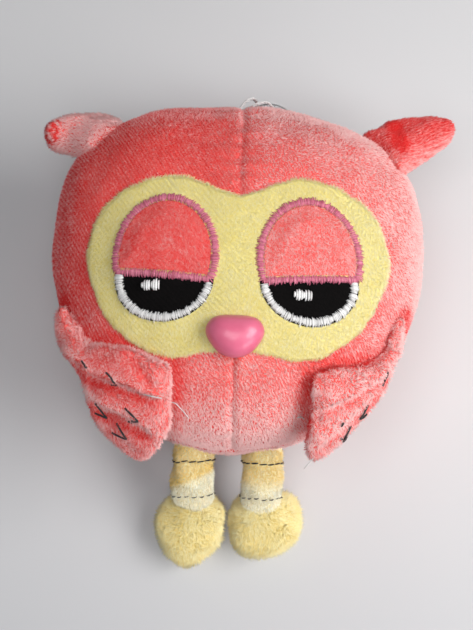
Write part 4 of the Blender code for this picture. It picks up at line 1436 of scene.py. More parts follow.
wingForm = {
    "inset": 0.0009, "hornInset": -0.0008, "spread": 0.004, "overhang": 0.014, "segments": 96, "rings": 22,
    "bulges": {"right": 0.0048, "left": 0.0034}, "settles": {"right": 0.0, "left": 0.0030}, "sink": 0.0056,
    "rootBend": (0.0570, 0.0490), "rootPlace": (-0.0305, 0.0515),
    "outlines": {
        "right": (
            (-56.0, -25.0), (-54.0, -30.6), (-50.4, -35.3), (-46.0, -38.3), (-42.0, -39.2), (-35.3, -40.0),
            (-30.8, -41.1), (-25.1, -43.4), (-21.4, -44.9), (-18.4, -47.9), (-17.4, -52.0), (-17.8, -57.2),
            (-17.3, -61.7), (-17.8, -66.2), (-20.1, -69.5), (-22.3, -72.5), (-25.5, -74.0), (-29.2, -73.1),
            (-33.3, -70.0), (-38.9, -65.7), (-42.7, -61.3), (-45.1, -56.5), (-47.0, -51.5), (-49.1, -46.7),
            (-51.9, -42.7), (-55.7, -37.1), (-57.4, -30.4), (-57.0, -26.4),
        ),
        "left": (
            (55.4, -25.6), (54.0, -31.6), (51.4, -35.9), (47.8, -39.2), (43.2, -41.9), (36.7, -43.7),
            (30.4, -44.4), (27.0, -46.2), (23.7, -48.4), (22.9, -51.3), (23.0, -58.4), (22.8, -63.5),
            (22.5, -68.2), (23.1, -71.4), (24.9, -72.9), (28.7, -71.4), (33.3, -67.7), (37.5, -63.0),
            (40.9, -59.2), (45.2, -53.6), (48.6, -48.7), (52.5, -43.0), (55.8, -37.0),
            (57.0, -31.4), (56.3, -27.5),
        ),
    },
    "middles": {"right": (-38.0, -52.0), "left": (39.5, -53.0)},
    # ridges of the folds: the cloth swells above each line and drops below it
    "ridges": {
        "right": (
            (((-51.5, -43.6), (-44.0, -49.5), (-34.7, -53.4), (-25.2, -56.6), (-19.0, -58.2)), 0.0042, 0.0064),
            (((-48.8, -53.0), (-42.0, -58.6), (-34.7, -62.0), (-27.0, -66.0), (-22.0, -69.0)), 0.0036, 0.0058),
        ),
        "left": (
            (((23.5, -60.0), (29.9, -57.4), (36.1, -54.2), (43.1, -49.3), (50.5, -43.5)), 0.0018, 0.0050),
            (((26.5, -69.5), (33.0, -63.8), (39.4, -57.6), (46.5, -50.0)), 0.0012, 0.0040),
        ),
    },
    "creases": {
        "right": ((((-33.5, -43.5), (-28.5, -49.5), (-24.6, -55.0)), 0.0011, 0.0013),),
        "left": ((((28.5, -46.5), (27.0, -55.0), (26.0, -66.0)), 0.0004, 0.0016),),
    },
    "lump": 0.00035, "lumpSize": 0.009, "flankPaintedShade": {"right": 0.0, "left": 1.4},
    "pile": {
        "density": 6.6, "length": 0.0014, "width": 0.00019, "lift": 0.6, "scatter": 0.35,
        "nap": (0.0, -0.5, 0.0), "swirl": 0.5, "swirlSize": 0.006, "wale": 0.16, "waleWay": (0.95, 0.3, 0.0),
        "walePitch": 0.00115, "tuftSize": 0.0009, "tuftLean": 1.8,
    },
}


def wingSeamHeight(x, y):
    share = planShare(x, y, wingForm["spread"], wingForm["overhang"])
    return bodyForm["middle"] + bodyForm["halfDepth"] * depthShare(share)


def keepOffBody(points, gap):
    # moves points that lie nearer than gap to the body's plain form straight off it
    f = bodyForm
    x, y = points[:, 0], points[:, 1]
    z = points[:, 2] - f["middle"]
    reach, power = reachAndPower(y, gap)
    side, deep = f["halfWidth"] + gap, f["halfDepth"] + gap
    share = (np.abs(x / side) ** power + np.abs(y / reach) ** power) ** (1 / power)
    size = (share ** f["depthPower"] + np.abs(z / deep) ** f["depthPower"]) ** (1 / f["depthPower"])
    scale = np.where(size < 1, 1 / np.maximum(size, 1e-6), 1.0)
    # only the depth is stretched where the body's front is level, so that a wing keeps its outline
    room = np.clip(1 - share ** f["depthPower"], 0, 1) ** (1 / f["depthPower"]) * deep
    lifted = points.copy()
    lifted[:, 2] = np.where((size < 1) & (share < 0.97) & (z > 0), f["middle"] + room, points[:, 2])
    rest = (size < 1) & ~((share < 0.97) & (z > 0))
    lifted[rest, 0] *= scale[rest]
    lifted[rest, 1] *= scale[rest]
    return lifted


def foldRelief(places, name):
    w = wingForm
    total = np.zeros(len(places))
    for line, depth, reach in w["ridges"][name]:
        path = smoothCurve(np.array(line) / 1000, 0.001)
        if path[0, 0] > path[-1, 0]:
            path = path[::-1]
        distance, sign, along = lineDistance(places, path)
        below = distance * -sign
        fade = eased(along, 0.0, 0.06) * (1 - eased(along, 0.88, 1.0))
        if name == "right":
            fade = 1 - eased(along, 0.70, 1.0)
        drop = np.where(below > 0, np.exp(-below / reach), 0.0) * eased(below, -0.0002, 0.0009)
        swell = np.where(below < 0, np.exp(below / 0.0022), 1.0) * (1 - eased(below, 0.0, 0.0008))
        total += fade * depth * (0.35 * swell - drop)
    for line, depth, width in w["creases"][name]:
        path = smoothCurve(np.array(line) / 1000, 0.001)
        distance, _, along = lineDistance(places, path)
        fade = eased(along, 0.0, 0.2) * (1 - eased(along, 0.8, 1.0))
        total -= depth * fade * np.exp(-(distance / width) ** 2)
    return total


def foldPaintedLight(places, name, outline):
    # painted light and shade: pale along the ridges, a painted highlight on the rolled rim, deep red painted
    # shade in the valleys and creases
    w = wingForm
    strength = 1.0 if name == "right" else 0.55
    # painted light: each wing's base level, paler towards its lit parts, darker at the left wing's lowest tip
    if name == "right":
        tone = 0.22 + 0.26 * eased(places[:, 0], -0.030, -0.020)
    else:
        tone = 0.80 + 0.20 * eased(-places[:, 1], 0.050, 0.068) - 0.5 * eased(-places[:, 1], 0.069, 0.074)
    for line, _, _ in w["ridges"][name]:
        path = smoothCurve(np.array(line) / 1000, 0.001)
        if path[0, 0] > path[-1, 0]:
            path = path[::-1]
        distance, sign, along = lineDistance(places, path)
        below = distance * -sign
        fade = 1 - eased(along, 0.85, 1.0)
        tone += strength * fade * (0.60 * np.exp(-((below + 0.0008) / 0.0013) ** 2)
                                   - 0.75 * np.exp(-((below - 0.0013) / 0.0017) ** 2))
    for line, _, width in w["creases"][name]:
        distance, _, _ = lineDistance(places, smoothCurve(np.array(line) / 1000, 0.001))
        tone -= strength * 0.45 * np.exp(-(distance / width) ** 2)
    # painted highlight along the right wing's rolled rim
    distance, _ = edgeDistance(places, outline)
    return tone + (0.20 if name == "right" else 0.0) * np.exp(-(distance / 0.0016) ** 2)


def makeWing(side, name):
    w = wingForm
    outline = evenCurve(np.array(w["outlines"][name]) / 1000, w["segments"])
    outline = drawnIn(outline, w["inset"] + w["hornInset"] * eased(outline[:, 1], -0.045, -0.032))
    middle = np.array(w["middles"][name]) / 1000

    def surface(places, rise, upper):
        x, y = places.T
        seam = np.stack([x, y, wingSeamHeight(x, y)], 1)
        way = frontNormal(x, y, wingSeamHeight)
        horn = 1 - 0.55 * eased(y, -0.045, -0.030)
        seam = seam - way * (w["settles"][name] * eased(y, -0.052, -0.040))[:, None]
        if upper:
            return seam + way * (w["bulges"][name] * horn * rise ** 0.62)[:, None]
        return keepOffBody(seam - way * (w["sink"] * rise ** 0.62)[:, None], 0.0003)

    mesh = padMesh("wing_" + name, outline, middle, w["rings"], surface)
    mesh = puffUp(mesh, "wing_" + name, voxel=0.0011, cap=0.0009, pressure=3.0)
    mesh = smoothed(mesh, 2)
    points, normals = pointsOf(mesh), normalsOf(mesh)
    outside = eased(normals[:, 2], 0.0, 0.45)
    relief = foldRelief(points[:, :2], name) * outside
    relief += w["lump"] * softNoise(points, w["lumpSize"], 90 + side) * outside
    points = points + normals * relief[:, None]
    movePoints(mesh, keepOffBody(points, 0.0002))
    mesh = divided(mesh, "wing_" + name)
    piece = newPiece("wingPad_" + name, mesh, coralGround)
    root = [(side * x, *wingForm["rootPlace"]) for x in wingForm["rootBend"]]
    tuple(root[0])
    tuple(root[1])
    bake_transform(piece)
    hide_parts("wing_outer_" + name, "wing_lining_" + name, "wing_filling_" + name)
    cloth = mesh.copy()
    normals = normalsOf(cloth)
    cover = 0.35 + 0.65 * eased(normals[:, 2], -0.3, 0.2)
    # painted shade on the flanks that face away from the lamps
    away = eased(normals[:, 1] * 0.8 - normals[:, 0] * 0.6, 0.2, 0.6) * (1 - eased(normals[:, 2], 0.5, 0.9))
    tone = foldPaintedLight(pointsOf(cloth)[:, :2], name, outline) - w["flankPaintedShade"][name] * away
    growPile("wingPile_" + name, cloth, cover, w["pile"], coralPile, "wing_" + name,
             100 + side, tone=tone, root=root)
    return treeOf(mesh)


wingTrees = {name: makeWing(side, name) for side, name in ((1, "left"), (-1, "right"))}

# the ears' form, which the body's painted shade round the ears needs before the ears are made
earForm = {
    "heights": {"right": 0.0430, "left": 0.0400}, "measured": 0.040,
    "rootRise": {"right": 0.0095, "left": 0.0070}, "inset": 0.0007,
    "segments": 84, "rings": 18, "depth": 0.0130,
    "outlines": {
        "right": (
            (-67.0, 37.3), (-66.6, 39.8), (-63.6, 42.4), (-59.0, 44.0), (-54.6, 44.9),
            (-48.8, 45.4), (-44.5, 44.2),
            (-40.0, 41.8), (-38.5, 38.0), (-42.5, 34.0), (-47.6, 30.6), (-52.0, 30.0),
            (-57.1, 31.0), (-61.8, 31.4),
            (-65.6, 33.8),
        ),
        "left": (
            (40.1, 39.6), (44.8, 42.7), (48.8, 45.4), (54.3, 47.0), (60.7, 47.6), (66.5, 48.2), (70.6, 47.4),
            (72.5, 43.9), (71.3, 40.4), (66.5, 36.2), (60.8, 32.0), (56.5, 29.0), (52.3, 26.2), (49.0, 28.2),
            (46.6, 31.6), (42.6, 35.4),
        ),
    },
    "middles": {"right": (-53.0, 37.6), "left": (56.0, 38.5)},
    "creases": {
        "right": (), "left": ((((50.6, 43.0), (51.6, 36.0), (52.4, 30.5)), 0.0002, 0.0018),),
    },
    "lump": 0.0004, "lumpSize": 0.008, "earPaintedLight": {"right": 0.78, "left": -0.36},
    "tips": {"right": (-64.4, 34.6), "left": (71.5, 43.5)}, "tipPaintedShade": {"right": 1.3, "left": 0.0},
    "tilts": {"right": (-0.34, 0.12), "left": (0.24, -0.54)},
    "lays": {"right": (-0.7, 0.15, 0.0), "left": (1.0, 0.45, 0.0)},
    "pile": {
        "density": 7.0, "length": 0.0013, "width": 0.00018, "lift": 0.6, "scatter": 0.4,
        "nap": (0.0, -0.1, 0.0), "swirl": 0.3, "swirlSize": 0.009, "wale": 0.22, "waleWay": (-0.5, 0.87, 0.0),
        "tuftTone": 1.0,
    },
    "pileOwn": {"right": {"density": 8.5, "tuftTone": 0.8, "wale": 0.2}, "left": {}},
}


# pile of the body, with painted shade deep red along the wings
def bodyPaintedLight(mesh):
    # painted light and sheen: paler towards the belly, the crown and the lit side; painted shade: deep red in
    # the seams, round the ears and the face patch and under the wings
    points = pointsOf(mesh)
    x, y, z = points.T
    upper = eased(y, -0.03, -0.005)
    # painted light: paler towards the lower belly, the crown and the lit right side, with painted shade on the
    # left of the forehead
    tone = 0.64 * eased(-y, 0.02, 0.045) + 1.1 * eased(-y, 0.050, 0.068) - 0.20
    tone += (1 - upper) * 0.08 * eased(x, -0.03, 0.05) + 0.10 * eased(x, 0.040, 0.062)
    tone += upper * (0.60 * eased(x, -0.012, 0.010) + 0.32 * eased(x, 0.0, 0.045)
                     + 0.36 * eased(y, 0.026, 0.042))
    tone += 0.42 * eased(x, 0.020, 0.040) * np.exp(-((y + 0.022) / 0.016) ** 2)
    tone -= upper * 0.14 * np.exp(-((x + 0.025) / 0.02) ** 2)
    front = z > bodyForm["middle"]
    # painted shade in the creases round the ears, along the face patch's edge and in the seams
    for outline in earForm["outlines"].values():
        distance, _ = edgeDistance(points[:, :2], np.array(outline) / 1000)
        tone = tone - np.where(front, 0.55 * np.exp(-(distance / 0.0014) ** 2), 0.0)
    distance, _ = edgeDistance(points[:, :2], faceEdge)
    tone = tone - np.where(front, 0.20 * np.exp(-(distance / 0.0010) ** 2), 0.0)
    seam = ((y > 0.006) | (y < -0.042)) & front
    tone = tone - np.where(seam, 0.30 * np.exp(-(x / 0.0008) ** 2), 0.0)
    # painted shade below each wing's edge
    for outline in wingForm["outlines"].values():
        # the camera sees the cloth behind a wing's edge a little higher up
        distance, _ = edgeDistance(points[:, :2] - (0.0, 0.0012), np.array(outline) / 1000)
        tone = tone - np.where(front & (y < 0.01), 0.90 * np.exp(-(distance / 0.0030) ** 2), 0.0)
    return tone


for index, (name, planes) in enumerate(panelPlanes.items()):
    panel = cutMesh(masterMesh, name + "Cloth", planes, capped=False)
    panel.shade_smooth()
    growPile(name + "Pile", panel, bodyCover(panel), backLook if name == "bodyBack" else coralLook,
             coralPile, "torso", 20 + index, tone=bodyPaintedLight(panel))


def makeEar(side, name):
    e = earForm
    outline = drawnIn(evenCurve(np.array(e["outlines"][name]) / 1000, e["segments"]), e["inset"])
    middle = np.array(e["middles"][name]) / 1000

    def surface(places, rise, upper):
        # the root climbs on to the front of the head
        deep = e["depth"] / 2 * rise ** 0.62
        root = 1 - eased(planShare(places[:, 0], places[:, 1]), 0.96, 1.14)
        seam = e["heights"][name] + e["rootRise"][name] * root
        seam = seam + (places - middle) @ np.array(e["tilts"][name])
        moved = alongSight(places, e["measured"], seam)
        return np.stack([moved[:, 0], moved[:, 1], seam + (deep if upper else -deep)], 1)

    mesh = padMesh("ear_" + name, outline, middle, e["rings"], surface)
    mesh = puffUp(mesh, "ear_" + name, voxel=0.0010, cap=0.0008)
    mesh = smoothed(mesh, 2)
    points, normals = pointsOf(mesh), normalsOf(mesh)
    relief = e["lump"] * softNoise(points, e["lumpSize"], 110 + side)
    for line, depth, width in e["creases"][name]:
        path = smoothCurve(np.array(line) / 1000, 0.001)
        distance, _, _ = lineDistance(points[:, :2], path)
        upper = eased(points[:, 2], e["heights"][name] - 0.002, e["heights"][name] + 0.003)
        relief -= depth * np.exp(-(distance / width) ** 2) * upper
    movePoints(mesh, points + normals * relief[:, None])
    mesh = divided(mesh, "ear_" + name)
    piece = newPiece("earPad_" + name, mesh, coralGround)
    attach(piece, "ear_" + name)
    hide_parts("ear_front_" + name, "ear_back_" + name, "ear_filling_" + name)
    cloth = mesh.copy()
    places = pointsOf(cloth)[:, :2]
    # painted light and shade: a level for each ear, paler on the lit right ear and darker on the left, with
    # painted shade at the right ear's tip
    tone = np.full(len(places), e["earPaintedLight"][name])
    tip = np.linalg.norm(places - np.array(e["tips"][name]) / 1000, axis=1)
    uneven = 0.7 + softNoise(pointsOf(cloth), 0.002, 115 + side)
    tone -= e["tipPaintedShade"][name] * (1 - eased(tip, 0.0035, 0.0062)) * uneven
    # painted light on the left ear's lit lower edge
    if name == "left":
        tone += 0.6 * eased((places - middle) @ (0.45, -0.9), 0.002, 0.007)
    # painted shade in the ear's crease
    for line, _, width in e["creases"][name]:
        distance, _, _ = lineDistance(places, smoothCurve(np.array(line) / 1000, 0.001))
        tone -= 0.9 * np.exp(-(distance / (width * 1.3)) ** 2)
    look = dict(e["pile"], **e["pileOwn"][name])
    growPile("earPile_" + name, cloth, np.ones(len(cloth.vertices)), look, coralPile, "ear_" + name,
             120 + side, tone=tone, lay=np.array(e["lays"][name]))


for side, name in ((1, "left"), (-1, "right")):
    makeEar(side, name)

legForm = {
    "side": 0.0115, "shift": -0.0008, "hipY": -0.0688, "hipZ": 0.0252, "radius": 0.0064, "reach": 0.0150,
    "into": 0.012, "rootLean": 18.0, "endLean": 54.0, "bendStart": -0.001, "bendEnd": 0.010,
    "capDepth": 0.0032, "segments": 56, "rings": 40, "lump": 0.00045, "lumpSize": 0.009,
    "waist": 0.0004, "stitchLift": 0.0009, "ringWave": 0.0002, "rootBend": (-0.004, 0.003),
    "ringShares": (0.15, 0.80), "seenDown": (0.0, -0.966, -0.26), "ringLevels": (0.0606, 0.0727),
    "ringSlopes": {1: 0.0, -1: -0.0006}, "shadeSlants": {1: 0.0, -1: 0.5},
    "shadeLevels": {1: (0.0640, 0.0705), -1: (0.0648, 0.0672)},
    "dashes": ((0.0024, 0.0021, 0.00024), (0.0023, 0.0014, 0.00018)),
    "thread": {"steps": 5, "segments": 6, "ragged": 0.1, "hump": 0.0003, "sink": -0.0002},
    "pile": {
        "density": 9.0, "length": 0.0014, "width": 0.00014, "lift": 0.55, "scatter": 0.45,
        "nap": (0.0, -0.6, -0.3), "swirl": 0.4, "swirlSize": 0.008, "wale": 0.05, "tuftTone": 0.8,
        "fringeLean": (0.35, 0.3, 1.6),
    },
}

footForm = {
    "ankleY": -0.0825, "ankleReach": 0.0060, "ankleRise": 0.0030,
    "inset": 0.0010, "depth": 0.0158, "press": 0.0005, "segments": 90, "rings": 20,
    "outlines": {
        "right": (
            (-6.6, -78.2), (-3.1, -80.7), (-1.6, -84.1), (-1.6, -90.1), (-3.0, -94.9),
            (-7.1, -98.6), (-11.0, -102.0),
            (-14.3, -102.6), (-18.5, -100.4), (-21.3, -97.3), (-24.0, -92.9), (-24.8, -89.2), (-23.3, -84.0),
            (-20.4, -80.2), (-14.0, -77.6),
        ),
        "left": (
            (3.8, -78.4), (0.9, -82.3), (0.1, -89.4), (1.8, -95.2), (5.0, -98.0), (9.7, -99.3), (16.1, -97.9),
            (20.7, -94.7), (24.0, -89.9), (24.4, -83.5), (21.7, -79.0), (17.5, -76.9), (10.0, -76.4),
        ),
    },
    "lump": 0.0007, "lumpSize": 0.009,
    "pile": {
        "density": 11.0, "length": 0.0023, "width": 0.00017, "lift": 0.75, "scatter": 0.6,
        "nap": (0.0, -0.3, 0.0), "swirl": 0.5, "swirlSize": 0.009, "wale": 0.0, "tuftTone": 1.3,
        "tuftSize": 0.0008, "tuftLean": 1.6, "outward": 0.5,
    },
}


def makeFoot(side, name):
    f = footForm
    outline = drawnIn(evenCurve(np.array(f["outlines"][name]) / 1000, f["segments"]), f["inset"])
    middle = outline.mean(0)

    def surface(places, rise, upper):
        deep = f["depth"] / 2 * rise ** 0.62 * (1 if upper else -1)
        if upper:
            ankle = np.array((legForm["side"] * side + legForm["shift"], f["ankleY"]))
            near = np.exp(-(np.linalg.norm(places - ankle, axis=1) / f["ankleReach"]) ** 2)
            deep = deep + f["ankleRise"] * near * np.minimum(rise * 3, 1.0)
        height = np.maximum(f["depth"] / 2 + deep - f["press"], 0.0004)
        return np.stack([places[:, 0], places[:, 1], height], 1)

    mesh = padMesh("foot_" + name, outline, middle, f["rings"], surface)
    mesh = puffUp(mesh, "foot_" + name, voxel=0.0012, cap=0.0008)
    mesh = smoothed(mesh, 2)
    points, normals = pointsOf(mesh), normalsOf(mesh)
    relief = f["lump"] * softNoise(points, f["lumpSize"], 130 + side) * eased(normals[:, 2], -0.6, 0.2)
    points = points + normals * relief[:, None]
    points[:, 2] = np.maximum(points[:, 2], 0.0003)
    movePoints(mesh, points)
    mesh = divided(mesh, "foot_" + name)
    piece = newPiece("footPad_" + name, mesh, fleeceGround)
    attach(piece, "foot_" + name)
    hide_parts("foot_top_" + name, "foot_sole_" + name, "foot_filling_" + name)
    cloth = mesh.copy()
    normals = normalsOf(cloth)
    cover = 0.15 + 0.85 * eased(normals[:, 2], -0.5, 0.0)
    cover *= eased(pointsOf(cloth)[:, 2], 0.0008, 0.002)
    outward = pointsOf(cloth) * (1.0, 1.0, 0.0) - (*middle, 0.0)
    outward *= f["pile"]["outward"] / np.maximum(np.linalg.norm(outward, axis=1), 0.003)[:, None]
    growPile("footPile_" + name, cloth, cover, f["pile"], fleecePile, "foot_" + name,
             140 + side, lay=outward)


for side, name in ((1, "left"), (-1, "right")):
    makeFoot(side, name)

# legs: stuffed tubes that come out of the body's lower seam
print("stage: legs")


def legLean(travel):
    g = legForm
    bend = eased(travel, g["bendStart"], g["bendEnd"])
    return np.radians(g["rootLean"] * (1 - bend) + g["endLean"] * bend)


def legWay(side, travel):
    # middle of the leg and its upper side: nearly level at the body, then bent down to the foot
    g = legForm
    travel = np.asarray(travel, float)
    lean = legLean(travel)
    steps = legLean(travel[..., None] * np.linspace(0.0, 1.0, 41))
    y = -np.cos(steps).mean(-1) * travel
    z = -np.sin(steps).mean(-1) * travel
    hip = np.array((g["side"] * side + g["shift"], g["hipY"], g["hipZ"]))
    middle = hip + np.stack([np.zeros_like(y), y, z], -1)
    upper = np.stack([np.zeros_like(y), -np.sin(lean), np.cos(lean)], -1)
    return middle, upper


def legPoint(side, travel, angle, lift=0.0):
    # a place on the leg's cloth: how far down the leg, and round it from its upper side
    g = legForm
    across = np.array((1.0, 0.0, 0.0))
    travel, angle = np.asarray(travel, float), np.asarray(angle, float)
    end = g["reach"]
    past = np.maximum(travel - end, 0.0) / g["capDepth"]
    round_ = np.sqrt(np.clip(1 - np.minimum(past, 1.0) ** 2, 0, 1))
    middle, upper = legWay(side, travel)
    way = np.cos(angle)[..., None] * upper + np.sin(angle)[..., None] * across
    radius = g["radius"] * round_
    point = middle + way * radius[..., None]
    swell = g["lump"] * softNoise(point.reshape(-1, 3), g["lumpSize"], 150 + side).reshape(point.shape[:-1])
    waist = -g["waist"] * sum(np.exp(-((travel - share * end) / 0.0012) ** 2) for share in g["ringShares"])
    return point + way * ((swell + waist + lift) * round_)[..., None]


def seenTravel(side, turn, level):
    # how far down the leg a ring lies there that looks straight from the front
    g = legForm
    travel = np.linspace(-0.004, g["reach"] + 0.7 * g["capDepth"], 200)
    seen = legPoint(side, travel, np.full(travel.shape, turn), g["stitchLift"]) @ np.array(g["seenDown"])
    return float(np.interp(level, seen, travel))


def makeLeg(side, name):
    g = legForm
    travel = np.concatenate([
        np.linspace(-g["into"], g["reach"], g["rings"]),
        g["reach"] + g["capDepth"] * np.sin(np.linspace(0, math.pi / 2, 14)[1:]),
    ])
    count = g["segments"]
    angle = np.linspace(0, math.tau, count, endpoint=False)
    points = legPoint(side, *np.meshgrid(travel, angle, indexing="ij")).reshape(-1, 3)
    faces = []
    for ring in range(len(travel) - 1):
        for n in range(count):
            a, b = ring * count + n, ring * count + (n + 1) % count
            faces.append((a, b, b + count, a + count))
    faces.append(tuple(range(count)))
    mesh = closeFaces(meshFrom("leg_" + name, points, faces))
    piece = newPiece("legTube_" + name, mesh, creamGround)
    cloth = mesh.copy()
    where = pointsOf(cloth)
    cover = eased(-where[:, 1], 0.0655, 0.067)
    # painted light and shade: the upper half darker, the lower half paler; on the owl's right leg painted
    # shade marks a fold across it
    seen = where @ np.array(g["seenDown"]) + g["shadeSlants"][side] * (where[:, 0] - g["side"] * side)
    starts, ends = g["shadeLevels"][side]
    low = eased(seen, starts, ends)
    foldShade = np.exp(-((seen - starts) / 0.0014) ** 2) if side < 0 else 0.0
    tone = 0.70 * low - 0.40 * (1 - low) - 0.35 * foldShade
    root = [tuple(legWay(side, travel)[0]) for travel in g["rootBend"]]
    growPile("legPile_" + name, cloth, cover, g["pile"], creamPile, "leg_" + name, 160 + side,
             tone=tone, root=root)
    for ring, (level, (pitch, dash, thick)) in enumerate(zip(g["ringLevels"], g["dashes"])):
        starts, ends, overs = [], [], []
        number = int(math.tau * g["radius"] / pitch)
        half = dash / 2 / g["radius"]
        for n in range(number):
            turn = math.tau * (n + 0.3 * ring) / number
            marks = []
            for end in (-half, half):
                wave = g["ringSlopes"][side] * math.sin(turn + end) + g["ringWave"] * math.sin(turn * 5)
                down = seenTravel(side, turn + end, level + wave - math.copysign(0.00012, end))
                marks.append(legPoint(side, down, turn + end, g["stitchLift"]))
            starts.append(marks[0])
            ends.append(marks[1])
            middle = seenTravel(side, turn, level)
            away = legPoint(side, middle, turn) - legWay(side, middle)[0]
            overs.append(away / np.linalg.norm(away))
        threadRows("legStitches%d_%s" % (ring + 1, name), np.array(starts), np.array(ends), np.array(overs),
                   blackThread, "leg_" + name, dict(g["thread"], radius=thick),
                   170 + side + ring)
    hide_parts("leg_sleeve_" + name, "leg_filling_" + name)
    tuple(root[0])
    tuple(root[1])
    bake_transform(piece)


for side, name in ((1, "left"), (-1, "right")):
    makeLeg(side, name)

# black feather stitches and loose thread ends on the wings
print("stage: stitches")
stitchMarks = {
    "right": (
        ((-46.9, -46.2), (-45.0, -48.4)), ((-38.8, -50.3), (-35.7, -53.2)), ((-37.4, -53.0), (-35.7, -53.2)),
        ((-42.9, -57.3), (-38.7, -61.9)), ((-42.6, -60.2), (-38.7, -61.9)),
        ((-32.8, -60.2), (-28.5, -64.2)), ((-31.9, -63.3), (-28.5, -64.2)),
        ((-35.5, -63.4), (-32.2, -68.3)), ((-37.0, -66.1), (-32.2, -68.3)),
    ),
    "left": (
        ((47.9, -44.8), (46.5, -49.3)), ((41.9, -55.5), (39.6, -59.9)), ((41.6, -58.0), (39.6, -59.9)),
        ((36.8, -62.1), (34.3, -66.6)), ((34.3, -61.7), (33.5, -62.7)), ((35.6, -65.0), (34.3, -66.6)),
    ),
    "thickness": 0.00030, "lift": 0.00075,
}
looseEnds = {
    "right": (
        ((-27.4, -56.6, 2.6), (-24.6, -57.6, 3.6), (-21.5, -57.9, 2.4)),
        ((-18.9, -57.2, 2.0), (-17.5, -57.8, 2.6), (-15.6, -59.2, 1.0), (-13.4, -61.3, 0.6)),
    ),
    "left": (((22.6, -59.8, 1.0), (21.3, -59.6, 1.8), (20.4, -59.9, 1.6)),
             ((25.6, -72.6, 0.6), (24.2, -74.2, 0.6), (22.9, -75.6, 0.2))),
    "thickness": 0.00017, "pile": 0.0013, "wingLevel": 0.056, "onEdge": 0.0015, "above": 0.12,
}


def onWing(tree, place, lift):
    # the place in plan, dropped on the wing's upper side; past wing and body it keeps the edge's height
    start = Vector((place[0], place[1], looseEnds["above"]))
    hit, normal, _, _ = tree.ray_cast(start, Vector((0, 0, -1)))
    if hit is None:
        x, y = np.array(place)
        height = float(frontHeight(x, y)) + looseEnds["pile"]
        hit, normal = Vector((x, y, height)), Vector((0, 0, 1))
        if planShare(x, y) > 1:
            edge, edgeNormal, _, _ = tree.find_nearest(Vector((x, y, looseEnds["wingLevel"])))
            hit = Vector((x, y, edge.z))
            if (edge - hit).length < looseEnds["onEdge"]:
                hit, normal = edge, edgeNormal
    return np.array(hit + normal * lift)


def makeWingThreads(name):
    tree = wingTrees[name]
    parts = []
    for start, end in stitchMarks[name]:
        start, end = np.array(start) / 1000, np.array(end) / 1000
        path = []
        for share in np.linspace(0, 1, 9):
            lift = stitchMarks["lift"] * math.sin(math.pi * (0.12 + 0.76 * share)) ** 0.5
            path.append(onWing(tree, start + (end - start) * share, lift))
        parts.append(tubeAlong(smoothCurve(path, 0.0003), stitchMarks["thickness"], 8))
    mesh = closeThreads(meshFrom("wingStitches_" + name, *joined(parts)))
    piece = newPiece("wingStitches_" + name, mesh, blackThread)
    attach(piece, "wing_" + name)
    parts = []
    for marks in looseEnds[name]:
        path = []
        for x, y, rise in marks:
            place = onWing(tree, (x / 1000, y / 1000), 0.0)
            path.append(place + np.array((0, 0, rise / 1000)))
        parts.append(tubeAlong(smoothCurve(path, 0.0003), looseEnds["thickness"], 6))
    mesh = closeThreads(meshFrom("looseThreads_" + name, *joined(parts)))
    piece = newPiece("looseThreads_" + name, mesh, whiteThread)
    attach(piece, "wing_" + name)


for name in ("left", "right"):
    makeWingThreads(name)

# floor and light
print("stage: floor and light")
studio = {
    "floorColour": (0.66, 0.655, 0.66), "floorShaded": (0.50, 0.505, 0.52), "fade": (-0.17, -0.04),
    "floorHalf": 3.0, "grainScale": 30.0, "grainDark": 0.985,
    "lamps": {
        "window": ((0.400, -0.070, 0.430), (0.48, 0.30), 3.1, (1.0, 0.985, 0.975)),
        "ceiling": ((-0.110, -0.230, 0.860), (0.50, 0.50), 2.9, (0.96, 0.98, 1.0)),
        "lowWindow": ((0.367, -0.437, 0.185), (0.30, 0.20), 0.7, (1.0, 0.97, 0.96)),
    },
    "worldColour": (0.90, 0.94, 1.0), "worldStrength": 0.14, "backdrop": (0.72, 0.72, 0.73),
    "farFloor": (0.22, 0.9), "aim": (0.0, -0.01, 0.02),
}


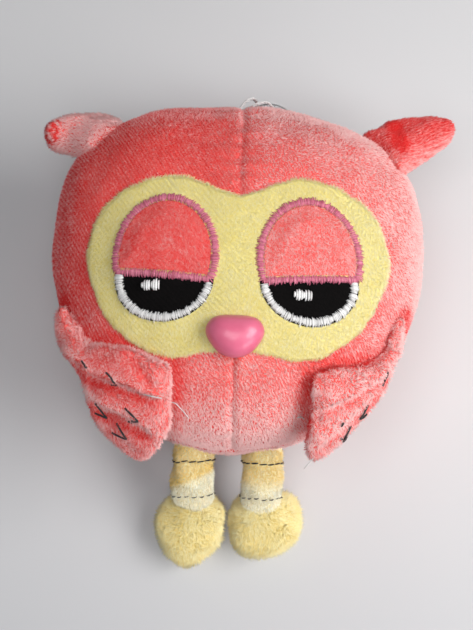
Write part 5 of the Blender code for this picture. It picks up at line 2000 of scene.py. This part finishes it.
def makeStudio(s):
    half = s["floorHalf"]
    corners = [(-half, -half, 0), (half, -half, 0), (half, half, 0), (-half, half, 0)]
    mesh = meshFrom("floor", corners, [(0, 1, 2, 3)], False)
    material, tree, shader = newFinish("paleFloor", {"Roughness": 0.8, "Specular IOR Level": 0.2})
    place = objectPlace(tree)
    grain = addNode(tree, "ShaderNodeTexNoise", {"Vector": place, "Scale": s["grainScale"], "Detail": 2.0})
    low = tuple(c * s["grainDark"] for c in s["floorColour"])
    colour = mixColours(tree, grain.outputs["Fac"], (*low, 1), (*s["floorColour"], 1))
    # painted shade: the floor is darker towards its lower edge
    height = addNode(tree, "ShaderNodeSeparateXYZ", {"Vector": place}).outputs["Y"]
    fade = addNode(tree, "ShaderNodeMapRange", {
        "Value": height, "From Min": s["fade"][0], "From Max": s["fade"][1], "To Min": 1.0, "To Max": 0.0,
    })
    colour = mixColours(tree, fade.outputs[0], colour, (*s["floorShaded"], 1))
    tree.links.new(colour, shader.inputs["Base Color"])
    # far from the toy the camera sees the floor turn into the pale backdrop
    reach = addNode(tree, "ShaderNodeVectorMath", {"Vector": place}, operation="LENGTH").outputs["Value"]
    far = addNode(tree, "ShaderNodeMapRange", {
        "Value": reach, "From Min": s["farFloor"][0], "From Max": s["farFloor"][1],
        "To Min": 0.0, "To Max": 1.0,
    }, interpolation_type="SMOOTHSTEP").outputs[0]
    camera = addNode(tree, "ShaderNodeLightPath").outputs["Is Camera Ray"]
    pale = addNode(tree, "ShaderNodeEmission", {"Color": (*s["backdrop"], 1), "Strength": 1.0})
    leave = [node for node in tree.nodes if node.type == "OUTPUT_MATERIAL"][0]
    mixShaders(tree, mathNode(tree, "MULTIPLY", far, camera), shader, pale, leave)
    floor = newPiece("floor", mesh, material)
    for name, (place, size, power, colour) in s["lamps"].items():
        data = bpy.data.lights.new(name, "AREA")
        data.shape = "RECTANGLE"
        data.size, data.size_y = size
        data.energy = power
        data.color = colour
        lamp = bpy.data.objects.new(name, data)
        scene.collection.objects.link(lamp)
        lamp.location = place
        lamp.rotation_euler = (Vector(s["aim"]) - Vector(place)).to_track_quat("-Z", "Y").to_euler()
    world = bpy.data.worlds.new("room")
    world.use_nodes = True
    scene.world = world
    tree = world.node_tree
    lights = tree.nodes["Background"]
    lights.inputs["Color"].default_value = (*s["worldColour"], 1)
    lights.inputs["Strength"].default_value = s["worldStrength"]
    # what the camera, the gloss and the clear cup see of the room is pale, and it lights nothing
    pale = addNode(tree, "ShaderNodeBackground", {"Color": (*s["backdrop"], 1), "Strength": 1.0})
    rays = addNode(tree, "ShaderNodeLightPath").outputs
    seen = mathNode(tree, "MAXIMUM", rays["Is Camera Ray"], rays["Is Transmission Ray"])
    seen = mathNode(tree, "MAXIMUM", seen, rays["Is Glossy Ray"])
    mixShaders(tree, seen, lights, pale, tree.nodes["World Output"])


makeStudio(studio)
